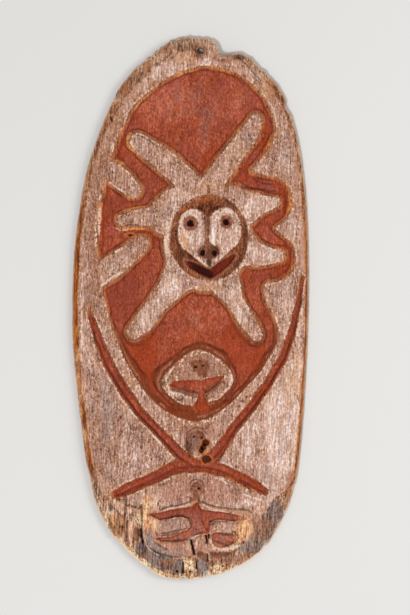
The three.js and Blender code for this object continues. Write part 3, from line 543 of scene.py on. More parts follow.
def insideLoop(x, y, loop):
    # How far inside a loop each point lies, negative outside, and the loop's third number nearest to it.
    nearest = np.full(x.shape, 1e12)
    carried = np.zeros(x.shape)
    inside = np.zeros(x.shape, bool)
    for (x0, y0, c0), (x1, y1, c1) in zip(loop, np.roll(loop, -1, 0)):
        dx, dy = x1 - x0, y1 - y0
        t = np.clip(((x - x0) * dx + (y - y0) * dy) / max(dx * dx + dy * dy, 1e-9), 0, 1)
        gap = (x - x0 - t * dx) ** 2 + (y - y0 - t * dy) ** 2
        closer = gap < nearest
        nearest = np.where(closer, gap, nearest)
        carried = np.where(closer, c0 + (c1 - c0) * t, carried)
        if y0 != y1:
            inside ^= ((y0 > y) != (y1 > y)) & (x < dx * (y - y0) / dy + x0)
    distance = np.sqrt(nearest)
    return np.where(inside, distance, -distance), carried


def insideStroke(x, y, points, width=1, place=at):
    best = np.full(x.shape, farOutside)
    knots = [(*place(p), p[2] * width / 2) for p in points]
    for (x0, y0, r0), (x1, y1, r1) in zip(knots, knots[1:]):
        dx, dy = x1 - x0, y1 - y0
        t = np.clip(((x - x0) * dx + (y - y0) * dy) / (dx * dx + dy * dy), 0, 1)
        best = np.maximum(best, r0 + (r1 - r0) * t - np.hypot(x - x0 - t * dx, y - y0 - t * dy))
    return best


def insideEllipse(x, y, centre, radiusX, radiusY):
    away = np.hypot((x - centre[0]) / radiusX, (y - centre[1]) / radiusY)
    return (1 - away) * min(radiusX, radiusY)


def softMax(a, b, reach):
    h = np.clip(0.5 + (a - b) / (2 * reach), 0, 1)
    return b + (a - b) * h + reach * h * (1 - h)


def softMin(a, b, reach):
    return -softMax(-a, -b, reach)


def softStep(value, start, end):
    t = np.clip((value - start) / (end - start), 0, 1)
    return t * t * (3 - 2 * t)


def bell(value, middle, width):
    # 1 at the middle, falling away on both sides.
    return np.exp(-((value - middle) / width) ** 2)


def patches(x, y, sizeX, sizeY, seed):
    # A soft random field between -1 and 1, in patches of about sizeX by sizeY millimetres.
    columns = int(2 * plankWidth / sizeX) + 4
    rows = int(2 * plankLength / sizeY) + 4
    lattice = np.random.default_rng(seed).uniform(-1, 1, (rows, columns))
    gridX = np.clip((x + plankWidth) / sizeX, 0, columns - 2)
    gridY = np.clip((y + plankLength) / sizeY, 0, rows - 2)
    i, j = gridX.astype(int), gridY.astype(int)
    a, b = gridX - i, gridY - j
    a, b = a * a * (3 - 2 * a), b * b * (3 - 2 * b)
    low = lattice[j, i] * (1 - a) + lattice[j, i + 1] * a
    high = lattice[j + 1, i] * (1 - a) + lattice[j + 1, i + 1] * a
    return low * (1 - b) + high * b


loops = {
    "outline": smoothLoop(outline, perSpan=8),
    "field": smoothLoop(field),
    "pod": smoothLoop(pod),
    "podFace": smoothLoop(podFace, perSpan=4),
    "heart": smoothLoop(heart, inHead),
    "breaks": [straightLoop(points) for points in breaks],
    "flakedFoot": straightLoop(flakedFoot),
    "footBody": smoothLoop(footBody, perSpan=3),
    "footLobe": smoothLoop(footLobe, perSpan=3),
}


def toHead(y, start, end):
    # Rises from 0 to 1 towards the head end, between two shares of the length from the middle.
    return softStep(y / plankLength, start, end)


def toFoot(y, start, end):
    return toHead(-y, start, end)


def edgeDistance(x, y):
    # Millimetres inside the worn edge and inside the unbroken outline, and the bevel's width there.
    smooth, bevel = insideLoop(x, y, loops["outline"])
    headEnd = toHead(y, 0.36, 0.44)
    footEnd = toFoot(y, 0.36, 0.44)
    ragged = 0.5 * patches(x, y, 9, 14, 11) - 0.2
    ragged += headEnd * (1.5 * patches(x, y, 4, 60, 12) + 1.0 * patches(x, y, 11, 50, 13))
    ragged += footEnd * (1.3 * patches(x, y, 4, 60, 14) + 1.2 * patches(x, y, 9, 40, 15) - 0.6)
    worn = smooth + ragged
    for broken in loops["breaks"]:
        worn = np.minimum(worn, -insideLoop(x, y, broken)[0])
    holeX, holeY = at(hangingHole)
    worn = np.minimum(worn, np.hypot(x - holeX, y - holeY) - plank["holeDiameter"] / 2)
    return worn, smooth, bevel * plank["rimBevel"]


def insideCuts(x, y):
    # How far inside each painted cut a point lies, in wall widths: 0 at the top of a wall, 1 at its foot.
    wobbleX = 0.9 * patches(x, y, 16, 16, 21) + 0.45 * patches(x, y, 6, 8, 22)
    wobbleY = 0.9 * patches(x, y, 16, 16, 23) + 0.45 * patches(x, y, 6, 8, 24)
    x, y = x + wobbleX, y + wobbleY
    flatMiddle, widths, heights = headFlat
    island = insideEllipse(x, y, at(flatMiddle), plank["headWidth"] * widths, plank["headHeight"] * heights)
    for ray in rays:
        island = softMax(island, insideStroke(x, y, ray, plank["limbWidth"]), 3)
    for finger in fingers:
        island = softMax(island, insideStroke(x, y, finger, plank["limbWidth"]), 1)
    border = insideLoop(x, y, loops["field"])[0]
    wall = 1.12 + 0.2 * patches(x, y, 30, 30, 25)
    for place, reachX, reachY, wider in wideWalls:
        placeX, placeY = at(place)
        wall += wider * np.exp(-((x - placeX) / reachX) ** 2 - ((y - placeY) / reachY) ** 2)
    field = np.minimum(softMin(border, -island, 3), -insideLoop(x, y, loops["pod"])[0])
    cuts = {"field": field / (wall * plank["fieldWall"])}
    for name, strokes, blend in (("pod", podArms, 1.5), ("crossed", crossedGrooves, 2)):
        inside = np.full(x.shape, farOutside)
        for stroke in strokes:
            inside = softMax(inside, insideStroke(x, y, stroke, plank[name + "Width"]), blend)
        cuts[name] = inside / plank[name + "Wall"]
    footCut = np.maximum(insideLoop(x, y, loops["footBody"])[0], insideLoop(x, y, loops["footLobe"])[0])
    cuts["foot"] = footCut / plank["footWall"]
    return cuts


def wallDepth(share):
    # A gouged wall: steep at the top, with a thin stop cut along its foot.
    t = np.clip(share, 0, 1)
    wall = 1 - (1 - t) ** 1.5
    return wall + 0.2 * bell(share, 0.97, 0.14)


def wornPlace(x, y, name, seed):
    # How strongly one kind of wear shows, with a broken edge.
    warpX = 5 * patches(x, y, 14, 20, seed) + 3 * patches(x, y, 5, 8, seed + 1)
    warpY = 6 * patches(x, y, 14, 20, seed + 2) + 4 * patches(x, y, 5, 8, seed + 3)
    worn = np.zeros(x.shape)
    for u, v, width, length, strength in wear[name]:
        placeX, placeY = at((u, v))
        soften = min(1, min(width, length) / 24)
        across = np.abs(x + soften * warpX - placeX) / width * 2
        along = np.abs(y + soften * warpY - placeY) / length * 2
        away = (across ** 2.6 + along ** 2.6) ** (1 / 2.6)
        worn = np.maximum(worn, strength * softStep(-away, -1.35, -0.65))
    return worn


def headForms(x, y):
    # The face in its sunken ring: depth below the board and the masks of its parts.
    centre = at(headCentre)
    rightward = 1.2  # the ring reaches this much further on its right side
    ring = insideEllipse(x, y, (centre[0] + rightward, centre[1]), plank["headWidth"] / 2 + rightward,
                         plank["headHeight"] / 2)
    ring = ring + 0.5 * patches(x, y, 9, 9, 41)
    inRing = ring > 0
    cheeks = insideLoop(x, y, loops["heart"])[0] + 0.4 * patches(x, y, 7, 7, 42)
    depth = plank["moatDepth"] * (1 - (1 - np.clip(ring / 13, 0, 1)) ** 2)
    cheekLevel = plank["cheekDrop"] - 1.3 * softStep(cheeks, 0, 16)
    upward = softStep(y - centre[1], 5, 45)
    depth = depth + (cheekLevel - depth) * softStep(cheeks, -4.5 - 6 * upward, 0.4) * inRing
    ridge = insideStroke(x, y, nose, 1, inHead)
    ridgeLift = softStep(ridge, -3.4, 1.8) * softStep(ring, 8, 22)
    depth = depth - ridgeLift * (depth - 0.3 + 0.9 * softStep(ridge, 0, 6))
    lipLeft = insideStroke(x, y, mouthLeft, 1, inHead)
    lipRight = insideStroke(x, y, mouthRight, 1, inHead)
    lips = np.maximum(lipLeft, lipRight)
    depth = depth - 1.2 * bell(lips, -3, 2.2) * inRing
    depth = depth + plank["mouthDepth"] * softStep(lips, -0.8, 3)
    sockets = np.full(x.shape, farOutside)
    pupils = np.full(x.shape, farOutside)
    for u, v, radius in eyes:
        eyeX, eyeY = inHead((u, v))
        across, along = np.abs(x - eyeX), np.abs(y - eyeY)
        sockets = np.maximum(sockets, radius - np.hypot(across, along))
        squared = (across ** 3 + along ** 3) ** (1 / 3)
        pupil = plank["eyeDiameter"] / 2 * radius / 14 - squared
        pupils = np.maximum(pupils, pupil + 1.1 * patches(x, y, 4, 4, 43))
    for nostril in nostrils:
        noseX, noseY = inHead(nostril)
        nostrilForm = insideEllipse(x, y, (noseX, noseY), plank["nostrilDiameter"] / 2, 5.2)
        pupils = np.maximum(pupils, nostrilForm + 0.7 * patches(x, y, 4, 4, 44))
    depth = depth + 1.6 * softStep(sockets, 0, 4.5) * inRing
    depth = depth + plank["eyeDepth"] * softStep(pupils, -0.4, 1.6)
    bulb = insideEllipse(x, y, inHead(noseBulb[0]), *noseBulb[1:])
    depth = depth - 1.6 * softStep(bulb, -1, 3)
    chin = insideEllipse(x, y, inHead(chinPatch[0]), *chinPatch[1:])
    masks = {
        "ring": softStep(ring, -0.4, 1.4),
        "ringDepth": np.clip(ring / 20, 0, 1),
        "cheeks": softStep(cheeks, -1.4, 0.6) * inRing,
        # Pale lines beside the ring's sides and along the heart's edge: worn lime and painted highlights.
        "ringHalo": bell(ring, -2.2, 2.2) * softStep(np.abs(x - centre[0]), 12, 44),
        "cheekEdge": bell(cheeks, 0.6, 1.7) * inRing,
        "nose": np.maximum(ridgeLift, softStep(bulb, -0.8, 1.2)),
        "bulb": softStep(bulb, 0, 5),
        "chin": softStep(chin, -0.6, 1.6),
        "lipLeft": softStep(lipLeft, -1.2, 2.6) * softStep(x - centre[0], -38, -22),
        "lipRight": softStep(lips, -1.4, 2.2),
        "lipRim": bell(lips, -2.6, 2) * inRing,
        "sockets": softStep(sockets, -0.8, 2) * inRing,
        "socketRim": bell(sockets, 0.2, 1.4) * inRing,
    }
    return np.where(inRing, depth, 0), masks, pupils


def smallFaceForms(x, y):
    # Three small faces: a heart in the pod and two arches below it.
    heartFace = insideLoop(x, y, loops["podFace"])[0]
    band = bell(heartFace, 0.4, 1.3)
    brown = softStep(heartFace, -1, 1.6)
    for centre, radiusX, radiusY, strength in smallArches:
        faceX, faceY = at(centre)
        face = insideEllipse(x, y, (faceX, faceY), radiusX, radiusY)
        arch = bell(face, 1.5, 1.7) * softStep(y - faceY, -16, -4)
        band = np.maximum(band, strength * arch)
        brown = np.maximum(brown, strength * (arch + 0.35 * softStep(face, 0, 3)))
    holes = np.full(x.shape, farOutside)
    for u, v, width in smallEyes:
        eyeX, eyeY = at((u, v))
        holes = np.maximum(holes, width / 2 - np.hypot(x - eyeX, (y - eyeY) * 1.25))
    return 1.6 * band + 0.8 * softStep(heartFace, -0.5, 1.5), np.clip(brown, 0, 1), holes


def carve(x, y):
    # The face's height and the masks that the finish needs, at points inside the outline.
    worn, smooth, bevel = edgeDistance(x, y)
    bevelShare = smooth / bevel
    rim = plank["rimThickness"]
    top = rim + (plankThickness - rim) * np.clip(bevelShare, 0, 1)
    top -= plank["crownDrop"] * (x / (plankWidth / 2)) ** 2 * np.clip(top / rim, 0, 1)
    headward = toHead(y, 0.38, 0.43)
    footward = toFoot(y, 0.36, 0.41)
    brokenShare = bevelShare + 0.09 * patches(x, y, 7, 18, 16) + 0.05 * patches(x, y, 4, 6, 17)
    stepDown = 1.6 * footward + 1.1 * headward
    top -= stepDown * (1 - softStep(brokenShare, 0.88, 0.99))
    chipped = patches(x, y, 6, 14, 18) + 0.7 * patches(x, y, 4, 6, 19)
    top += 0.7 * (headward + footward) * chipped * (1 - softStep(brokenShare, 0.85, 1))
    top -= 1.4 * (1 - softStep(worn, 0, 2.6)) * (1 - 0.5 * footward)

    cuts = insideCuts(x, y)
    masks = {name: wornPlace(x, y, name, 100 + 10 * number) for number, name in enumerate(wear)}
    depth = plank["fieldDepth"] * wallDepth(cuts["field"] / (1 + 0.6 * masks["orangeOchre"]))
    for name in ("pod", "crossed", "foot"):
        depth = np.maximum(depth, plank[name + "Depth"] * wallDepth(cuts[name]))
    cut = np.max(list(cuts.values()), 0)
    narrow = np.max([cuts["pod"], cuts["crossed"], cuts["foot"]], 0)
    floor = softStep(cut, 0.9, 1.3)

    adze = patches(x, y, 22, 55, 31) + 0.6 * patches(x, y, 13, 34, 32)
    floorAdze = patches(x, y, 11, 26, 33) + 0.5 * patches(x, y, 26, 13, 34)
    relief = plank["adzeDepth"] * (adze * (1 - floor) + 0.8 * floorAdze * floor)
    fibre = patches(x, y, 4.2, 46, 35) + 0.7 * patches(x, y, 6.5, 90, 36) + 0.5 * patches(x, y, 4, 14, 37)
    relief += plank["grainDepth"] * fibre * (1 - 0.6 * floor)
    pitted = np.clip(np.abs(patches(x, y, 4.5, 6, 38)) * np.abs(patches(x, y, 5.5, 7, 39)) - 0.3, 0, 1)
    relief -= plank["pitDepth"] * pitted * (1 - 0.7 * floor)

    headDepth, headMasks, pupils = headForms(x, y)
    masks.update(headMasks)
    faceDepth, smallBrown, smallHoles = smallFaceForms(x, y)
    depth = np.maximum(depth, headDepth) + faceDepth
    depth = depth + plank["smallEyeDepth"] * softStep(smallHoles, -0.4, 1)

    holeX, holeY = at(hangingHole)
    fromHole = np.hypot(x - holeX, (y - holeY) * np.where(y < holeY, 0.78, 1))
    collarWidth = (plank["collarDiameter"] - plank["holeDiameter"]) / 2
    collar = 1 - np.clip((fromHole - plank["holeDiameter"] / 2) / collarWidth, 0, 1)
    depth = depth + plank["collarDip"] * collar ** 1.7

    # Painted shadow: near-black in the cracks, pupils, nostrils and small eyes, and dark rotted wood in the
    # rot holes.
    dark = np.zeros(x.shape)
    for crack in cracks:
        inCrack = insideStroke(x + 0.7 * patches(x, y, 30, 7, 51), y, crack)
        depth = depth + plank["crackDepth"] * softStep(inCrack, -0.9, 0.9)
        dark = np.maximum(dark, softStep(inCrack, -1, 0.3))
    for kind, strokes in marks.items():
        inMark = np.max([insideStroke(x, y, stroke) for stroke in strokes], 0)
        masks[kind] = softStep(inMark, -0.9, 0.5)
        depth = depth + markDepth[kind] * masks[kind]
    # Each crossed groove gets a sunken line along one wall, painted dark as shade, and a pale painted
    # highlight on one bank.
    grooveShadeLines, bankHighlights = np.zeros(x.shape), np.zeros(x.shape)
    for groove, (seamX, seamY), (bankX, bankY) in zip(crossedGrooves, grooveShadeOffsets, grooveHighlightOffsets):
        inSeam = insideStroke(x - seamX, y - seamY, groove, 3)
        onBank = insideStroke(x - bankX, y - bankY, groove, 3.2)
        grooveShadeLines = np.maximum(grooveShadeLines, softStep(inSeam, -1.2, 0.6))
        bankHighlights = np.maximum(bankHighlights, softStep(onBank, -1.4, 0.8) * (cuts["crossed"] < 0.15))
    depth = depth + plank["seamDepth"] * grooveShadeLines
    rot = np.zeros(x.shape)
    for u, v, sizeX, sizeY in rotHoles:
        inRot = insideEllipse(x, y, at((u, v)), sizeX / 2, sizeY / 2) + 0.8 * patches(x, y, 4, 5, 52)
        depth = depth + plank["rotDepth"] * softStep(inRot, -0.6, 1.6)
        dark = np.maximum(dark, softStep(inRot, -0.2, 1.4))
        rot = np.maximum(rot, softStep(inRot, -3.6, -0.5))
    dark = np.maximum(dark, softStep(pupils, -0.3, 0.9))
    dark = np.maximum(dark, 0.85 * softStep(smallHoles, -0.6, 0.6))

    flakeX, flakeY = x + 2.2 * patches(x, y, 5, 24, 61), y + 2 * patches(x, y, 9, 9, 62)
    flaked = softStep(insideLoop(flakeX, flakeY, loops["flakedFoot"])[0], -0.6, 1.4)
    strips = np.abs(patches(x, y, 4, 34, 63)) + 0.8 * np.abs(patches(x, y, 8, 16, 64))
    depth = depth + flaked * (1.2 + 2.6 * strips)

    crumbled = masks["cream"] * footward * (1 - flaked)
    depth = depth + crumbled * (0.6 + 1.6 * np.abs(patches(x, y, 4, 9, 65)))
    depth = depth + 0.8 * masks["bareTan"] + 1.2 * masks["darkBrown"]
    height = np.maximum(top - depth + relief * softStep(worn, 0, 5), plank["thinnest"])
    masks.update({
        "grooveSeam": grooveShadeLines,
        "grooveBank": bankHighlights,
        "cut": np.clip(cut, -4, 4),
        "paintedWall": softStep(narrow, -0.6, -0.1),
        # Walls of the field's lower part, which get painted shade.
        "brownWall": toFoot(y, 0.02, 0.08) * (narrow < -0.6),
        "rim": np.clip(brokenShare, -1, 6),
        "worn": np.clip(worn, -5, 30),
        "smallFaces": smallBrown,
        "collar": softStep(plank["collarDiameter"] / 2 + 1 - fromHole, -1, 2.5),
        "holeEdge": softStep(plank["holeDiameter"] / 2 + 3.5 - fromHole, -2, 3),
        "dark": dark,
        "rot": rot,
        "flaked": flaked,
        "headward": headward,
        "endWood": np.max([headward, toFoot(y, 0.28, 0.33), 0.7 * toHead(y, 0.1, 0.3)], 0),
        "footward": footward,
    })
    return height, masks


def gradientOf(function, x, y, reach=0.4):
    across = (function(x + reach, y) - function(x - reach, y)) / (2 * reach)
    along = (function(x, y + reach) - function(x, y - reach)) / (2 * reach)
    return across, along


def snapTo(function, x, y, level, reach):
    # Moves the points within reach of a contour onto it.
    value = function(x, y)
    across, along = gradientOf(function, x, y)
    steep = np.maximum(across ** 2 + along ** 2, 1e-6)
    away = (level - value) / np.sqrt(steep)
    moved = np.abs(away) < reach
    shift = np.where(moved, (level - value) / steep, 0)
    longest = 1.3 * reach
    shiftX, shiftY = np.clip(shift * across, -longest, longest), np.clip(shift * along, -longest, longest)
    return x + shiftX, y + shiftY, moved


def facePoints():
    step = plank["gridStep"]
    columns = np.arange(-plankWidth / 2 - step, plankWidth / 2 + 2 * step, step)
    rows = np.arange(-plankLength / 2 - step, plankLength / 2 + 2 * step, step)
    x, y = np.meshgrid(columns, rows)

    def edge(px, py):
        return edgeDistance(px, py)[0]

    def deepestCut(px, py):
        return np.max(list(insideCuts(px, py).values()), 0)

    distance = edge(x, y)
    near = np.abs(distance) < 0.62 * step
    flatX, flatY, flatNear = x.ravel(), y.ravel(), near.ravel()
    rimX, rimY, rimMoved = snapTo(edge, flatX[flatNear], flatY[flatNear], 0, step)
    flatX[flatNear] = np.where(rimMoved, rimX, flatX[flatNear])
    flatY[flatNear] = np.where(rimMoved, rimY, flatY[flatNear])
    inside = (distance > 0).ravel() | flatNear
    free = inside & ~flatNear
    share = deepestCut(flatX, flatY)
    for level in (0, 1):
        close = free & (np.abs(share - level) < 0.45)
        newX, newY, moved = snapTo(deepestCut, flatX[close], flatY[close], level, 0.42 * step)
        flatX[close] = np.where(moved, newX, flatX[close])
        flatY[close] = np.where(moved, newY, flatY[close])
        which = np.flatnonzero(close)[moved]
        free[which] = False
    return flatX, flatY, inside, flatNear, x.shape


def faceTriangles(x, y, z, inside, onRim, shape):
    index = np.arange(x.size).reshape(shape)
    a, b = index[:-1, :-1].ravel(), index[:-1, 1:].ravel()
    d, c = index[1:, :-1].ravel(), index[1:, 1:].ravel()
    corners = np.stack([a, b, c, d], 1)
    count = inside[corners].sum(1)
    whole = corners[count == 4]
    level = np.abs(z[whole[:, 0]] - z[whole[:, 2]]) <= np.abs(z[whole[:, 1]] - z[whole[:, 3]])
    first = np.where(level[:, None], whole[:, [0, 1, 2]], whole[:, [0, 1, 3]])
    second = np.where(level[:, None], whole[:, [0, 2, 3]], whole[:, [1, 2, 3]])
    partial = corners[count == 3]
    kept = np.array([row[inside[row]] for row in partial]).reshape(-1, 3)
    triangles = np.concatenate([first, second, kept])
    # A triangle whose corners all lie on the rim may bridge a notch.
    allRim = onRim[triangles].all(1)
    middleX, middleY = x[triangles].mean(1), y[triangles].mean(1)
    outside = np.zeros(len(triangles), bool)
    outside[allRim] = edgeDistance(middleX[allRim], middleY[allRim])[0] < 0.05
    return triangles[~outside]


def insideRing(x, y, ringX, ringY, edges):
    # True where a line from the point crosses the ring an odd number of times.
    within = np.zeros(len(x), bool)
    for first, last in edges:
        if ringY[first] != ringY[last]:
            slope = (ringX[last] - ringX[first]) / (ringY[last] - ringY[first])
            between = (ringY[first] > y) != (ringY[last] > y)
            within ^= between & (x < ringX[first] + (y - ringY[first]) * slope)
    return within


def addToScene(name, data):
    thing = bpy.data.objects.new(name, data)
    bpy.context.scene.collection.objects.link(thing)
    return thing


def rimRing(triangles, size):
    # Edges used once run round the rim and the hanging hole.
    edges = np.concatenate([triangles[:, [0, 1]], triangles[:, [1, 2]], triangles[:, [2, 0]]])
    keys = np.sort(edges, 1) @ np.array([size, 1])
    _, firstUse, uses = np.unique(keys, return_index=True, return_counts=True)
    rimEdges = edges[firstUse[uses == 1]]
    rimPoints = np.unique(rimEdges)
    ringPlace = np.full(size, -1)
    ringPlace[rimPoints] = np.arange(rimPoints.size)
    return rimPoints, rimEdges, ringPlace[rimEdges]


def sideRings(rimX, rimY, rimTop):
    # Rings of points down the side, each set in from the rim.
    inX, inY = gradientOf(lambda px, py: edgeDistance(px, py)[0], rimX, rimY, 1.2)
    length = np.maximum(np.hypot(inX, inY), 1e-6)
    inX, inY = inX / length, inY / length
    around = np.arctan2(rimY, rimX) * 300 % 390 - 190  # millimetres round the rim, folded on to the width
    rings = []
    for share, inset, roughness in sideProfile:
        rough = roughness * patches(around, 60 * share + rimY * 0.2, 9, 9, 71)
        rings.append((rimX + inX * (inset + rough), rimY + inY * (inset + rough), rimTop * share))
    return rings


def backNet(ringX, ringY, ringEdges):
    # The back is a coarser net, tied to the lowest ring. Its faces count the ring's points first.
    step = plank["backStep"]
    netX, netY = np.meshgrid(np.arange(-plankWidth / 2, plankWidth / 2, step),
                             np.arange(-plankLength / 2, plankLength / 2, step * 1.6))
    netX = netX + (np.arange(netX.shape[0]) % 2)[:, None] * step / 2
    netX, netY = netX.ravel(), netY.ravel()
    deep = edgeDistance(netX, netY)[0] > 6
    corners = np.stack([np.concatenate([ringX, netX[deep]]), np.concatenate([ringY, netY[deep]])], 1)
    points = [Vector(corner) for corner in corners.tolist()]
    loopEdges = ringEdges.tolist()
    backPoints, _, faces, origins, _, _ = geometry.delaunay_2d_cdt(points, loopEdges, [], 0, 1e-6, True)
    faces = np.array([face for face in faces if len(face) == 3])
    flat = np.array([point[:] for point in backPoints])
    middleX, middleY = flat[faces, 0].mean(1), flat[faces, 1].mean(1)
    faces = faces[insideRing(middleX, middleY, ringX, ringY, loopEdges)]
    firstOrigins = np.array([min(origin, default=len(points)) for origin in origins])
    onRing = firstOrigins < ringX.size
    number = firstOrigins.copy()
    number[~onRing] = ringX.size + np.arange((~onRing).sum())
    netX, netY = flat[~onRing].T
    hollow = patches(netX, netY, 30, 70, 81) + 0.5 * patches(netX, netY, 16, 40, 82)
    netZ = plank["backAdzeDepth"] * np.clip(0.5 + 0.5 * hollow, 0, 1) * (edgeDistance(netX, netY)[0] > 4)
    return netX, netY, netZ, number[faces][:, ::-1]


def makeMesh(name, points, triangles, values):
    mesh = bpy.data.meshes.new(name)
    mesh.vertices.add(len(points))
    mesh.vertices.foreach_set("co", (points * mm).astype(np.float32).ravel())
    mesh.loops.add(triangles.size)
    mesh.loops.foreach_set("vertex_index", triangles.astype(np.int32).ravel())
    mesh.polygons.add(len(triangles))
    mesh.polygons.foreach_set("loop_start", np.arange(0, triangles.size, 3, dtype=np.int32))
    mesh.polygons.foreach_set("use_smooth", np.ones(len(triangles), bool))
    for valueName, value in values.items():
        layer = mesh.attributes.new(valueName, "FLOAT", "POINT")
        layer.data.foreach_set("value", value.astype(np.float32))
    mesh.update(calc_edges=True)
    mesh.validate()
    mesh.set_sharp_from_angle(angle=math.radians(plank["creaseAngle"]))
    return mesh


def buildPlank():
    x, y, inside, onRim, shape = facePoints()
    height = np.zeros(x.size)
    height[inside] = carve(x[inside], y[inside])[0]
    triangles = faceTriangles(x, y, height, inside, onRim, shape)
    used = np.unique(triangles)
    renumber = np.full(x.size, -1)
    renumber[used] = np.arange(used.size)
    x, y = x[used], y[used]
    triangles = renumber[triangles]
    height, masks = carve(x, y)
    print("face:", len(triangles), "triangles")

    rimPoints, upper, ringEdges = rimRing(triangles, x.size)
    rings = sideRings(x[rimPoints], y[rimPoints], height[rimPoints])
    faces = [triangles]
    for number in range(len(rings)):
        lower = x.size + number * rimPoints.size + ringEdges
        faces.append(np.stack([upper[:, 1], upper[:, 0], lower[:, 0]], 1))
        faces.append(np.stack([upper[:, 1], lower[:, 0], lower[:, 1]], 1))
        upper = lower
    netX, netY, netZ, backTriangles = backNet(rings[-1][0], rings[-1][1], ringEdges)
    faces.append(x.size + (len(rings) - 1) * rimPoints.size + backTriangles)

    allPoints = np.concatenate([np.stack(part, 1) for part in [(x, y, height), *rings, (netX, netY, netZ)]])
    allTriangles = np.concatenate(faces)
    values = {name: np.concatenate([mask, np.tile(mask[rimPoints], len(rings)), np.zeros(netX.size)])
              for name, mask in masks.items()}
    values["bareSide"] = (np.arange(len(allPoints)) >= x.size).astype(float)
    print("plank:", len(allTriangles), "triangles,", len(backTriangles), "on the back")
    return addToScene("carved_plank", makeMesh("carved_plank", allPoints, allTriangles, values))


plankPiece = buildPlank()
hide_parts(plankNode)
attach(plankPiece, "root")


# Shader nodes

class Wire:
    # A node's output that can be used in sums.
    def __init__(self, nodes, socket):
        self.nodes = nodes
        self.socket = socket

    def combine(self, operation, first, second):
        return self.nodes.make("ShaderNodeMath", {"operation": operation}, {0: first, 1: second})

    def __add__(self, other):
        return self.combine("ADD", self, other)

    def __radd__(self, other):
        return self.combine("ADD", other, self)

    def __sub__(self, other):
        return self.combine("SUBTRACT", self, other)

    def __rsub__(self, other):
        return self.combine("SUBTRACT", other, self)

    def __mul__(self, other):
        return self.combine("MULTIPLY", self, other)

    def __rmul__(self, other):
        return self.combine("MULTIPLY", other, self)


class NodeBench:
    # Adds nodes to one material.
    def __init__(self, name):
        self.material = bpy.data.materials.new(name)
        self.material.use_nodes = True
        self.tree = self.material.node_tree
        self.shader = self.tree.nodes["Principled BSDF"]

    def make(self, kind, settings=None, values=None, output=0):
        node = self.tree.nodes.new(kind)
        for name, value in (settings or {}).items():
            if name == "stops":
                ramp = node.color_ramp
                while len(ramp.elements) < len(value):
                    ramp.elements.new(0.5)
                for element, (position, colour) in zip(ramp.elements, value):
                    element.position = position
                    element.color = (*colour, 1)
            else:
                setattr(node, name, value)
        for key, value in (values or {}).items():
            self.feed(node.inputs[key], value)
        return Wire(self, node.outputs[output])

    def feed(self, socket, value):
        if isinstance(value, Wire):
            self.tree.links.new(value.socket, socket)
        elif isinstance(value, tuple) and len(value) == 3 and socket.type == "RGBA":
            socket.default_value = (*value, 1)
        else:
            socket.default_value = value

    def mask(self, name):
        return self.make("ShaderNodeAttribute", {"attribute_name": name}, output=2)

    def step(self, value, start, end):
        return self.make("ShaderNodeMapRange", {"interpolation_type": "SMOOTHSTEP"},
                         {0: value, 1: start, 2: end, 3: 0.0, 4: 1.0})

    def between(self, value, start, full, fade, end):
        # 1 from full to fade, falling to 0 at the start and the end.
        return self.step(value, start, full) * (1 - self.step(value, fade, end))

    def larger(self, first, second):
        return self.make("ShaderNodeMath", {"operation": "MAXIMUM"}, {0: first, 1: second})

    def blend(self, share, first, second):
        return self.make("ShaderNodeMix", {"data_type": "RGBA"}, {0: share, 6: first, 7: second}, 2)

    def coats(self, surface, *layers):
        # Lays coats over a surface in turn, each given as its share and its colour.
        for share, coat in layers:
            surface = self.blend(share, surface, coat)
        return surface

    def noise(self, scale, detail=2.0, roughness=0.5, seed=0.0, turn=0.0, distortion=0.0):
        # Scale is the patch size in millimetres, across, along and up; turn leans the patches, in radians.
        place = self.make("ShaderNodeTexCoord", output=3)
        if turn:
            place = self.make("ShaderNodeVectorRotate", {"rotation_type": "Z_AXIS"},
                              {"Vector": place, "Angle": turn})
        stretched = self.make("ShaderNodeVectorMath", {"operation": "MULTIPLY"},
                              {0: place, 1: tuple(1000 / size for size in scale)})
        shifted = self.make("ShaderNodeVectorMath", {"operation": "ADD"},
                            {0: stretched, 1: (seed, seed * 1.7, seed * 0.6)})
        return self.make("ShaderNodeTexNoise", None, {"Vector": shifted, "Scale": 1.0, "Detail": detail,
                                                      "Roughness": roughness, "Distortion": distortion})


